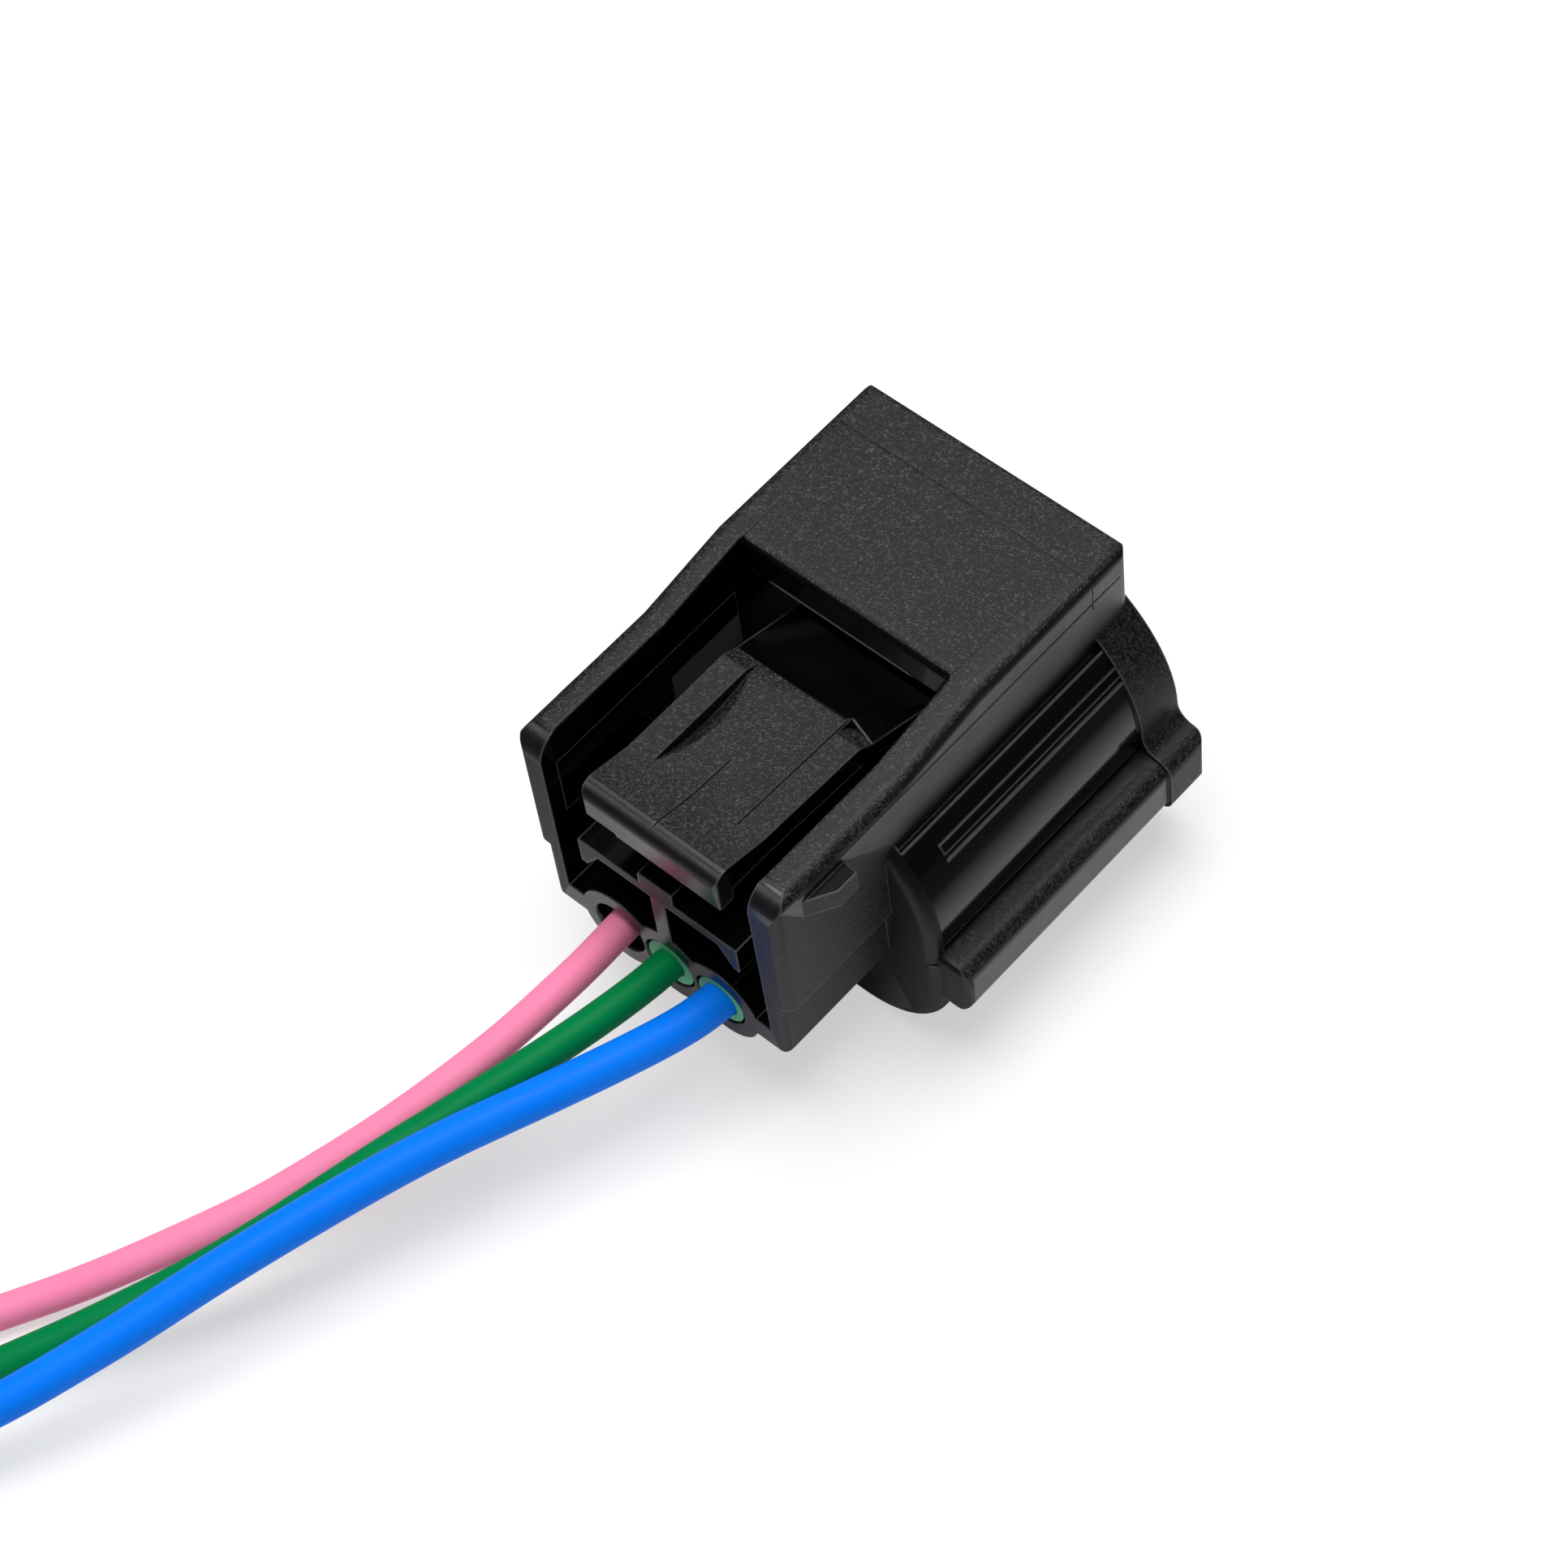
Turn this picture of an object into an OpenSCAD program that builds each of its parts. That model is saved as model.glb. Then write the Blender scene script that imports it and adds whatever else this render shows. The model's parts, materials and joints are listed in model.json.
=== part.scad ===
// Sealed three-way wiring connector with a guarded latch and three loose leads.
// Millimetres, +Z up. The mating face looks along +Y and the leads leave along -Y.
// The origin lies on the surface it rests on, under the middle of the housing.

/* [Housing] */
// Length of the housing from the rear face to the mating face
body_len = 28; // [26:0.5:34]
// Height of the housing from the underside to the deck's top
body_h = 22.3; // [21.8:0.1:24.2]
// Height of the contact axes above the underside
axis_z = 7.35; // [7:0.05:8]
// Spacing of the contacts
pitch = 3.6; // [3.5:0.1:4]
// Radius of the small moulded edges
edge_r = 0.65; // [0.4:0.05:0.8]

/* [Hood] */
// Width of the hood over its side walls
hood_w = 18; // [17.4:0.1:20]
// Thickness of the hood's side walls
hood_wall = 1.7; // [1.4:0.1:2]
// Length of the deck that bridges the latch
deck_len = 12.1; // [11:0.1:14]
// Thickness of the deck
deck_t = 2.4; // [1.6:0.1:2.6]
// Fall of the rear walls' top below the deck
wall_fall = 1.1; // [0.6:0.1:1.6]
// Length of the ramp from the deck to the rear walls
ramp_len = 6; // [4:0.5:8]
// Rounding of the rear walls' top corner, seen from the side
wall_corner_r = 1.8; // [1:0.1:3]
// Rounding of the hood's long upper edges
rim_r = 0.8; // [0.5:0.1:1.2]
// Rounding of the pocket's upper corners under the deck
ceiling_r = 2; // [1:0.1:2.4]
// Height above the axes where the rear walls step in
wall_step_rise = 4; // [2:0.1:5]
// Depth of that step
wall_step = 0.5; // [0.2:0.1:0.7]
// Rounding of the hood's upright front edges
front_corner_r = 0.8; // [0.5:0.1:1.4]
// Fall of the parting line below the deck
parting_fall = 1.95; // [1.5:0.05:2.3]
// Depth of the sunk field on the deck
field_d = 0.05; // [0.03:0.01:0.1]
// Width of the ledge along the pocket's inner walls
ledge_w = 0.25; // [0.15:0.05:0.4]
// Height of that ledge above the shelf
ledge_rise = 3.7; // [2.5:0.1:5]

/* [Skirt] */
// Width of the skirt
skirt_w = 24; // [23:0.1:26]
// Length of the skirt
skirt_len = 20; // [19:0.5:22]
// Thickness of the skirt's wall
skirt_wall = 1.5; // [1.2:0.1:1.8]
// Thickness of the skirt's rear wall
skirt_back = 1.6; // [1.2:0.1:2]
// Radius of the skirt's lower corners
skirt_corner_r = 6; // [4:0.25:6.5]
// Radius of the skirt's shoulders
shoulder_r = 9.25; // [8.75:0.05:9.6]
// Height where the shoulders begin
shoulder_z = 10.4; // [10.1:0.1:11]
// Rounding of the skirt's rear edge
skirt_edge_r = 0.8; // [0.4:0.1:1]
// Length of the raised band at the mating face
band_len = 3; // [2:0.1:4]
// Height of that band
band_h = 0.2; // [0.1:0.05:0.3]
// Reach of the side ribs beyond the skirt
rib_reach = 1.95; // [1.4:0.05:2.5]
// Height of the side ribs
rib_h = 4.15; // [3:0.05:4.4]
// Rounding of the ribs' outer corners
rib_r = 1; // [0.5:0.1:1.3]
// Set-back of the ribs' rear ends from the skirt's rear face
rib_setback = 0.3; // [0.1:0.1:1]
// Width of the grooves beside the shoulder panel
groove_w = 0.4; // [0.3:0.05:0.6]
// Depth of those grooves
groove_d = 0.5; // [0.3:0.05:0.7]
// Set-back of the shoulders' raised lines from the skirt's rear face
line_setback = 2.75; // [1.5:0.05:4]

/* [Rear face] */
// Bore of the seal tubes
seal_bore = 3.2; // [3.1:0.05:3.4]
// Wall of the seal tubes
tube_wall = 1.05; // [0.8:0.05:1.1]
// Depth of the seal bores
seal_bore_len = 8.2; // [8:0.1:8.4]
// Thickness of the web between the tubes and the walls
web_t = 1.4; // [1:0.1:2]
// Height of the shelf's underside above the axes
shelf_rise = 6.25; // [6:0.05:7]
// Thickness of the shelf
shelf_t = 0.6; // [0.5:0.05:0.8]
// Gap between the shelf's ends and the hood's walls
shelf_gap = 1.7; // [1:0.1:2.2]
// Depth of the turned-down lips at the shelf's ends
lip_drop = 1.4; // [0.8:0.1:2]
// Width of the post under the shelf
post_w = 1; // [0.8:0.1:1.4]
// Width of the stop rib on the shelf
stop_w = 2.4; // [1.6:0.1:3]
// Height of the stop rib
stop_h = 0.95; // [0.6:0.05:1.1]
// Length of the stop rib
stop_len = 5; // [2:0.5:7]

/* [Latch lever] */
// Height of the thumb pad above the shelf
pad_rise = 5.05; // [4.8:0.05:5.6]
// Width of the thumb pad
pad_w = 9.4; // [8:0.1:10]
// Length of the thumb pad
pad_len = 12.1; // [10:0.1:13]
// Set-back of the pad from the rear face
pad_setback = 0.1; // [0.1:0.1:1.2]
// Rise of the pad's rear lip above the pad
lip_rise = 0.6; // [0.3:0.05:0.9]
// Height of the pad's rear face
lip_h = 2.85; // [2.6:0.05:3.2]
// Rounding of the pad's rear lip
lip_r = 1; // [0.3:0.05:1.2]
// Length of the slope behind the rear lip
lip_len = 3.7; // [2:0.1:4.5]
// Width of the strips along the pad's sides
strip_w = 1.65; // [1:0.05:2.2]
// Length of the crease along the pad's middle
crease_len = 6.5; // [3:0.1:7]
// Fall of the pad's middle at its front end
pad_fall = 0.45; // [0.2:0.05:0.6]
// Thickness of the lever
lever_t = 1.4; // [1.1:0.05:1.6]
// Height of the arm's top above the shelf
arm_rise = 2.8; // [2.6:0.1:3.2]
// Width of the arm
arm_w = 9.9; // [8:0.1:10.5]
// Depth of the hook nib
nib_h = 0.6; // [0.4:0.05:0.9]
// Distance of the hook from the mating face
nib_setback = 1; // [0.5:0.1:2]
// Diameter of the pivot pins
pin_d = 1.6; // [1.2:0.1:1.8]
// Reach of the pivot pins into the walls
pin_reach = 1.2; // [0.9:0.05:1.3]
// Distance of the pivot from the deck's rear edge
pivot_inset = 2.4; // [1.6:0.1:3.4]
// Height of the pivot above the shelf
pivot_rise = 2.7; // [2.6:0.05:3]

/* [Contacts] */
// Width of the contact cavities
cavity_w = 2.4; // [2.3:0.05:2.6]
// Height of the contact cavities
cavity_h = 2.6; // [2.5:0.05:2.8]
// Wall of the contact tower at its sides
tower_wall_x = 1; // [0.8:0.05:1.3]
// Wall of the contact tower above and below the cavities
tower_wall_z = 1.6; // [1.2:0.05:1.8]
// Corner radius of the contact tower
tower_r = 1.2; // [0.6:0.1:1.5]
// Length of the contact tower ahead of the skirt's rear wall
tower_len = 12.4; // [11.5:0.1:13.5]
// Thickness of the front retainer
retainer_t = 1.6; // [1.2:0.1:2]
// Thickness of the retainer's clip arms
clip_t = 0.7; // [0.5:0.05:0.9]
// Length of the retainer's clip arms
clip_len = 4.4; // [3:0.1:6]
// Height of the retainer's clip arms
clip_h = 2.4; // [1.6:0.1:3]
// Depth of the clips' hooks
clip_hook = 0.35; // [0.2:0.05:0.5]
// Width of the pin windows
window_w = 1.4; // [1:0.05:1.6]
// Thickness of the mating seal between its ribs
ring_t = 1.1; // [0.8:0.05:1.4]
// Height of the mating seal's ribs
ring_rib = 0.3; // [0.15:0.05:0.4]
// Length of the mating seal
ring_len = 3; // [2:0.1:4]
// Length of the terminals' contact box
box_len = 8.1; // [7:0.1:8.4]
// Thickness of the terminals' sheet
sheet_t = 0.25; // [0.2:0.01:0.28]

/* [Leads] */
// Diameter of the pink and green leads
thin_d = 1.9; // [1.7:0.05:2]
// Diameter of the blue lead
thick_d = 2.2; // [1.9:0.05:2.25]
// Diameter of the copper core in the pink and green leads
thin_core_d = 1.2; // [1:0.05:1.3]
// Diameter of the copper core in the blue lead
thick_core_d = 1.5; // [1.2:0.05:1.6]
// Radius of the coil at the middle of the bundle where it begins
coil_r = 13.5; // [12:0.1:15]
// Step of the coil in one turn
coil_step = 4; // [3.9:0.05:4.5]
// Turns of the longest lead
coil_turns = 1.4; // [1.2:0.05:1.5]
// Height of the coil
coil_h = 4.2; // [4.1:0.1:4.8]
// Width of the tie's strap
tie_w = 2.5; // [2:0.1:4]
// Thickness of the tie's strap
tie_t = 0.5; // [0.4:0.05:0.8]

/* [Hidden] */
$fn = 64;
eps = 0.05;

// Overrun of the cuts that run out of a face
over = 1;

// Clearances between pieces
slide_gap = 0.05;
grip_gap = 0.02;
rib_gap = 0.025;
stop_gap = 0.4;

// Stations along the housing
rear_y = -body_len / 2;
mate_y = body_len / 2;
skirt_y = mate_y - skirt_len;
chamber_y = skirt_y + skirt_back;
band_y = mate_y - band_len;
deck_y = mate_y - deck_len;
ramp_y = deck_y - ramp_len;
bore_y = rear_y + seal_bore_len;
tower_y = chamber_y + tower_len;
groove_y = skirt_y + skirt_edge_r;
line_y = skirt_y + line_setback;

// Heights
shelf_z = axis_z + shelf_rise;
floor_z = shelf_z + shelf_t;
deck_z = body_h;
field_z = deck_z - field_d;
wall_z = deck_z - wall_fall;
ceiling_z = deck_z - deck_t;
foot_z = axis_z - web_t / 2;
step_z = axis_z + wall_step_rise;
rib_z = axis_z - rib_h / 2;
flank_z = rib_z + rib_h - rib_r;

// Half widths
hood_half = hood_w / 2;
pocket_half = hood_half - hood_wall;
skirt_half = skirt_w / 2;
shelf_half = pocket_half - shelf_gap;
shoulder_x = skirt_half - shoulder_r;
tower_half = pitch + cavity_w / 2 + tower_wall_x;
tower_h = cavity_h + 2 * tower_wall_z;
tube_r = seal_bore / 2 + tube_wall;

// Moulded details of the housing
rim_inner_r = 0.2;
rim_steps = 6;
wall_lap = 1;
ramp_angle = atan2(wall_fall, ramp_len);
front_edge_r = 0.45;
nub_reach = 1;
nub_h = 1.35;
nub_len = 3.2;
nub_slant = 1.65;
nub_draft = 0.1;
nub_drop = 2.7;
nub_setback = 2;
nub_z = wall_z - nub_drop;
nub_y = rear_y + nub_setback;
mouth_chamfer = 0.15;
seam_w = 0.12;
seam_d = 0.08;
parting_w = 0.12;
parting_d = 0.06;
rib_end_r = 0.5;
rib_fillet = 1.2;
line_h = 0.12;
line_angles = [[31, 35], [28, 29]];
groove_z = shoulder_z - groove_d
    + sqrt(pow(shoulder_r - band_h, 2) - pow(hood_half + groove_w / 2 - shoulder_x, 2));
ledge_inset = 1;
shelf_lip_w = 1.4;
shelf_lip_tip = 0.4;
clip_play = 0.2;
hook_len = 0.8;

// Latch lever
pad_y = rear_y + pad_setback;
pad_front_y = pad_y + pad_len;
kink_y = pad_y + lip_len;
crease_y = pad_y + crease_len;
crease_w = 0.1;
crease_d = 0.12;
pad_z = floor_z + pad_rise;
lip_z = pad_z + lip_rise;
arm_z = floor_z + arm_rise;
pivot_y = deck_y + pivot_inset;
pivot_z = floor_z + pivot_rise;
arm_foot_inset = 1.1;
arm_foot_y = deck_y + arm_foot_inset;
nib_y = mate_y - nib_setback;
nib_len = 1.6;
strip_chamfer = 1;
scoop_len = 7.4;
scoop_w = 1;
scoop_d = 0.75;
scoop_inset = 0.6;
pad_corner_r = 0.35;
lip_t = 1.2;
lip_lean = 0.15;
lip_step = 0.25;
lip_step_x = -2.6;

// Contacts, from the lead inwards
lead_d = [thin_d, thin_d, thick_d];
core_d = [thin_core_d, thin_core_d, thick_core_d];
contact_x = [-pitch, 0, pitch];
seal_depth = [1.2, 0.3, 0.3];
seal_neck_len = 2.4;
seal_rib_h = 0.2;
seal_flange = 0.4;
seal_ribs = 3;
neck_t = 0.2;
crimp_inset = 0.8;
crimp_len = 1;
crimp_thinning = 0.05;
crimp_y = bore_y - crimp_inset;
seal_front_y = crimp_y - seal_neck_len;
barrel_inset = 0.3;
barrel_y = bore_y + barrel_inset;
barrel_len = 2.5;
core_proud = 0.2;
core_end_y = barrel_y + barrel_len + core_proud;
box_y = tower_y - stop_gap - box_len;
box_play_x = 0.3;
box_play_z = 0.4;
box_w = cavity_w - box_play_x;
box_h = cavity_h - box_play_z;
slit_w = 0.1;
tongue_w = 0.7;
tongue_lap = 0.2;
spring_w = 1.2;
spring_len = 6;
spring_foot = 0.6;
spring_top = -0.1;
spring_y = box_y + (box_len - spring_len) / 2;
funnel_d = 0.5;
funnel_w = 0.3;
ring_rib_w = 0.8;

// Routes of the leads from the rear face to the coil
pink_route = [
    [-3.5, -17, 7.2], [-3.8, -19.3, 7], [-4, -21.6, 6.6], [-4.9, -25.8, 5.9], [-6.1, -29.8, 5],
    [-7.5, -33.5, 4.2], [-9, -37, 3.3], [-10.8, -40.3, 2.6], [-12.6, -43.6, 2], [-14.4, -46.7, 1.5],
    [-16.4, -49.7, 1.1], [-18.3, -53.2, 1], [-19.8, -56.9, 1], [-21, -60.8, 1], [-22.2, -64.7, 1],
    [-23.4, -68.5, 1], [-25, -72.3, 1]
];
green_route = [
    [-0.2, -15.4, 7.3], [-0.5, -17.6, 7.2], [-1, -19.7, 7.1], [-1.5, -21.7, 6.9], [-2.1, -23.6, 6.7],
    [-3.3, -27.4, 6.3], [-4.6, -31.1, 5.8], [-5.8, -34.9, 5.2], [-7, -38.7, 4.6], [-8.4, -42.2, 4],
    [-10, -45.5, 3.4], [-11.6, -48.8, 2.9], [-13.4, -52, 2.4], [-15.1, -55.5, 2], [-16.8, -58.9, 1.6],
    [-18.4, -62.5, 1.3], [-20, -66, 1.1], [-21.6, -69.5, 1], [-23.2, -73.1, 1]
];
blue_route = [
    [3.1, -16.4, 7.3], [2.5, -18.3, 7.3], [1.8, -20.1, 7.3], [1.1, -21.9, 7.3], [-0.3, -25.3, 7.3],
    [-1.8, -28.8, 7.3], [-3.1, -32.3, 7.2], [-4.3, -35.9, 7], [-5.5, -39.5, 6.7], [-6.7, -43.2, 6.3],
    [-7.8, -46.9, 5.8], [-9.1, -50.5, 5.3], [-10.4, -54, 4.8], [-12.1, -57.4, 4.3], [-14.4, -60.4, 3.9],
    [-17, -63.4, 3.6], [-19.7, -66.3, 3.3], [-22.1, -69.3, 3.1], [-24.1, -72.7, 3]
];
tube_sides = 8;
coil_centre = [-11.9, -78.4];
coil_round = 1;
bundle_half = thin_d;
tie_angle = 170;
tie_play = 0.3;
tie_head = 4;
coil_out = coil_r + bundle_half;
coil_in = coil_r - coil_step * coil_turns - bundle_half;

// Extrudes a section in X and Z along Y
module along_y(y0, y1) {
    translate([0, y1, 0]) rotate([90, 0, 0]) linear_extrude(y1 - y0) children();
}

// Extrudes a profile in Y and Z along X
module along_x(x0, x1) {
    translate([x0, 0, 0]) rotate([90, 0, 90]) linear_extrude(x1 - x0) children();
}

// Revolves a profile of radius and length about an axis along +Y
module about_y(x, z) {
    translate([x, 0, z]) rotate([-90, 0, 0]) rotate_extrude() children();
}

module both_sides() {
    children();
    mirror([1, 0, 0]) children();
}

// What a rounding of radius r takes off an outside corner at the origin
module corner_cut(r) {
    difference() {
        translate([-r, -r]) square(r + eps);
        translate([-r, -r]) circle(r);
    }
}

// Rectangle about the origin with round corners
module rounded_rect(w, h, r) {
    square([w - 2 * r, h], center = true);
    square([w, h - 2 * r], center = true);
    for (sx = [-1, 1], sy = [-1, 1]) {
        translate([sx * (w / 2 - r), sy * (h / 2 - r)]) circle(r);
    }
}

// Outline of the skirt, drawn in by an inset
module skirt_outline(inset) {
    both_sides() {
        translate([skirt_half - skirt_corner_r, skirt_corner_r]) circle(skirt_corner_r - inset);
        translate([shoulder_x, shoulder_z]) circle(shoulder_r - inset);
    }
    translate([skirt_corner_r - skirt_half, inset]) square([skirt_w - 2 * skirt_corner_r, shoulder_z]);
    translate([inset - skirt_half, skirt_corner_r])
        square([skirt_w - 2 * inset, shoulder_z - skirt_corner_r]);
    translate([-shoulder_x, shoulder_z]) square([2 * shoulder_x, shoulder_r - inset]);
}

// Disc about an axis along Y with a round rear edge
module rounded_disc(x, z, r) {
    about_y(x, z) difference() {
        translate([0, skirt_y]) square([r, band_y + eps - skirt_y]);
        translate([r, skirt_y]) mirror([0, 1]) corner_cut(skirt_edge_r);
    }
}

// Upright flanks of the skirt between two heights, round at their rear edges
module skirt_flank(z0, z1, half) {
    translate([0, 0, z0]) linear_extrude(z1 - z0) difference() {
        translate([-half, skirt_y]) square([2 * half, band_y + eps - skirt_y]);
        both_sides() translate([half, skirt_y]) mirror([0, 1]) corner_cut(skirt_edge_r);
    }
}

// Skirt behind the band, with its rear edge rounded all the way. The band stands proud of it above the ribs.
module skirt_body() {
    len = band_y + eps - skirt_y;
    both_sides() {
        rounded_disc(skirt_half - skirt_corner_r, skirt_corner_r, skirt_corner_r);
        rounded_disc(shoulder_x, shoulder_z, shoulder_r - band_h);
    }
    along_x(skirt_corner_r - skirt_half, skirt_half - skirt_corner_r) difference() {
        translate([skirt_y, 0]) square([len, shoulder_z]);
        translate([skirt_y, 0]) mirror([1, 0]) mirror([0, 1]) corner_cut(skirt_edge_r);
    }
    skirt_flank(skirt_corner_r, flank_z, skirt_half);
    skirt_flank(flank_z - eps, shoulder_z, skirt_half - band_h);
    along_y(skirt_y, band_y + eps) translate([-shoulder_x, shoulder_z])
        square([2 * shoulder_x, shoulder_r - band_h]);
}

// Section of a side rib, drawn in by an inset
module rib_section(inset) {
    root = skirt_half - skirt_wall / 2;
    reach = skirt_half + rib_reach - inset;
    difference() {
        translate([root, rib_z + inset]) square([reach - root, rib_h - 2 * inset]);
        translate([reach, rib_z + rib_h - inset]) corner_cut(rib_r);
        translate([reach, rib_z + inset]) mirror([0, 1]) corner_cut(rib_r);
    }
}

// Side rib with its fillet in the band, round at both ends
module side_rib() {
    y0 = skirt_y + rib_setback;
    difference() {
        along_y(y0, band_y + eps) rib_section(band_h);
        translate([skirt_half + rib_reach - band_h, y0, 0])
            linear_extrude(shoulder_z) mirror([0, 1]) corner_cut(edge_r);
        along_x(0, skirt_w) translate([y0, rib_z + rib_h - band_h]) mirror([1, 0]) corner_cut(rib_end_r);
    }
    difference() {
        along_y(band_y, mate_y) {
            rib_section(0);
            translate([skirt_half, rib_z + rib_h]) difference() {
                translate([-eps, -eps]) square(rib_fillet + eps);
                translate([rib_fillet, rib_fillet]) circle(rib_fillet);
            }
        }
        translate([skirt_half + rib_reach, mate_y, 0]) linear_extrude(shoulder_z) corner_cut(edge_r);
    }
}

// Points of an arc, in short straight steps that stay true where the rim is mitred
function arc(centre, r, from, to) =
    [for (k = [0 : rim_steps]) let (a = from + (to - from) * k / rim_steps) centre + r * [cos(a), sin(a)]];

// Upper part of a hood wall with its rounded rim, its top at the origin's height
module rim_section(depth) {
    polygon(concat(
        [[pocket_half, -depth], [hood_half, -depth]],
        arc([hood_half - rim_r, -rim_r], rim_r, 0, 90),
        arc([pocket_half + rim_inner_r, -rim_inner_r], rim_inner_r, 90, 180)
    ));
}

// Space ahead of the mitre where the rim bends, through a point of its top
module ahead_of(y, z) {
    reach = 2 * body_len;
    translate([-reach / 2, y, z]) rotate([ramp_angle / 2, 0, 0])
        translate([0, 0, -reach / 2]) cube(reach);
}

// Rear part of a hood wall: the guard beside the thumb pad
module guard_wall() {
    depth = wall_z - foot_z;
    low_x = hood_half - wall_step;
    difference() {
        along_y(rear_y, ramp_y + wall_lap) difference() {
            translate([0, wall_z]) rim_section(depth);
            translate([low_x, foot_z - eps]) square([wall_step + eps, step_z - foot_z + eps]);
            translate([low_x, foot_z]) mirror([0, 1]) corner_cut(edge_r);
        }
        along_x(pocket_half - eps, hood_half + eps)
            translate([rear_y, wall_z]) mirror([1, 0]) corner_cut(wall_corner_r);
        translate([hood_half, rear_y, step_z - eps])
            linear_extrude(depth) mirror([0, 1]) corner_cut(edge_r);
        translate([low_x, rear_y, foot_z - eps])
            linear_extrude(step_z - foot_z + eps) mirror([0, 1]) corner_cut(edge_r);
    }
}

// Wall under the ramp, whose rim climbs from the guard to the deck. The pocket's cut trims its inner face.
module ramp_wall() {
    depth = wall_z - shoulder_z;
    difference() {
        translate([0, ramp_y, wall_z]) rotate([ramp_angle, 0, 0]) along_y(-wall_lap, 2 * ramp_len) {
            rim_section(depth);
            translate([pocket_half - eps, -depth]) square([2 * eps, depth - rim_inner_r]);
        }
        ahead_of(deck_y, deck_z);
    }
}

// Front part of the hood: a block with a sunk field and round front edges, whose pocket is cut later
module deck_block() {
    difference() {
        intersection() {
            along_y(ramp_y, mate_y) polygon(concat(
                [[-hood_half, shoulder_z], [hood_half, shoulder_z]],
                arc([hood_half - rim_r, deck_z - rim_r], rim_r, 0, 90),
                arc([rim_r - hood_half, deck_z - rim_r], rim_r, 90, 180)
            ));
            ahead_of(deck_y, deck_z);
        }
        translate([-pocket_half, ramp_y, field_z]) cube([2 * pocket_half, band_y - ramp_y, over]);
        both_sides() translate([hood_half, mate_y, shoulder_z - eps])
            linear_extrude(deck_z) corner_cut(front_corner_r);
        along_x(-hood_half - eps, hood_half + eps) translate([mate_y, deck_z]) corner_cut(front_edge_r);
    }
}

// Nub on the outside of a guard wall, with a slanted rear flank
module nub() {
    translate([0, nub_y, nub_z]) linear_extrude(nub_h) polygon([
        [hood_half - eps, 0], [hood_half, 0], [hood_half + nub_reach, nub_slant],
        [hood_half + nub_reach, nub_len - nub_draft], [hood_half, nub_len], [hood_half - eps, nub_len]
    ]);
}

// Space of the latch pocket and of the chamber that takes the mating half
module inner_space() {
    along_y(rear_y - over, deck_y + edge_r) translate([-pocket_half, floor_z])
        square([2 * pocket_half, deck_z]);
    along_y(deck_y, mate_y + over) difference() {
        translate([-pocket_half, floor_z]) square([2 * pocket_half, ceiling_z - floor_z]);
        both_sides() translate([pocket_half, ceiling_z]) corner_cut(ceiling_r);
    }
    along_y(chamber_y, mate_y + over) skirt_outline(skirt_wall);
}

// Deck behind its rounded edge, put back over the pocket
module deck_edge() {
    along_x(-pocket_half, pocket_half) difference() {
        translate([deck_y, ceiling_z]) square([edge_r + eps, field_z - ceiling_z]);
        translate([deck_y, field_z]) mirror([1, 0]) corner_cut(edge_r);
    }
}

// Grooves along the upper and lower sides of a shoulder, behind the band
module shoulder_grooves() {
    along_y(groove_y, band_y) {
        translate([hood_half, groove_z]) square([groove_w, deck_z - groove_z]);
        translate([skirt_half - band_h - groove_d, rib_z + rib_h - band_h])
            square([groove_d + rib_reach, groove_w + band_h]);
    }
}

// Two raised lines between those grooves
module shoulder_lines() {
    r = shoulder_r - band_h;
    along_y(line_y, band_y) translate([shoulder_x, shoulder_z]) intersection() {
        difference() {
            circle(r + line_h);
            circle(r - line_h);
        }
        for (pair = line_angles) polygon([[0, 0], for (a = pair) 2 * r * [cos(a), sin(a)]]);
    }
}

// Faint seam round the hood where the band begins
module hood_seam() {
    along_y(band_y - seam_w, band_y) difference() {
        translate([-hood_w, ceiling_z]) square([2 * hood_w, deck_z]);
        translate([seam_d - hood_half, 0]) square([hood_w - 2 * seam_d, deck_z - seam_d]);
    }
}

// Fine parting line along the hood's sides
module parting_lines() {
    along_y(rear_y + wall_corner_r, mate_y - front_corner_r)
        translate([hood_half - parting_d, deck_z - parting_fall]) square([over, parting_w]);
}

// Three seal tubes, fused side by side, and the web that ties them to the walls
module seal_tubes() {
    along_y(rear_y, skirt_y + eps) {
        for (x = contact_x) translate([x, axis_z]) circle(tube_r);
        translate([-pocket_half - eps, foot_z]) square([2 * (pocket_half + eps), web_t]);
    }
}

// Shelf with turned-down lips, on its post, with the stop rib for the latch. It runs on over the mating seal.
module shelf() {
    along_y(rear_y, skirt_y + eps) {
        translate([-shelf_half, shelf_z]) square([2 * shelf_half, shelf_t]);
        translate([-post_w / 2, axis_z + tube_r - eps]) square([post_w, shelf_rise - tube_r + 2 * eps]);
        both_sides() polygon([
            [shelf_half, shelf_z + eps], [shelf_half - shelf_lip_w, shelf_z + eps],
            [shelf_half - shelf_lip_tip, shelf_z - lip_drop], [shelf_half, shelf_z - lip_drop]
        ]);
    }
    along_y(skirt_y, chamber_y + ring_len)
        translate([-pocket_half, shelf_z]) square([2 * pocket_half, shelf_t]);
    along_y(rear_y, rear_y + stop_len)
        translate([-stop_w / 2, floor_z - eps]) square([stop_w, stop_h + eps]);
}

// Contact tower, with recesses for the retainer's clips
module tower() {
    difference() {
        along_y(chamber_y - eps, tower_y) translate([0, axis_z])
            rounded_rect(2 * tower_half, tower_h, tower_r);
        both_sides() along_y(tower_y - clip_len - clip_play, tower_y - clip_len + hook_len + clip_play)
            translate([tower_half - clip_hook - clip_play, axis_z - clip_h / 2 - clip_play])
                square([clip_hook + over, clip_h + 2 * clip_play]);
    }
}

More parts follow.
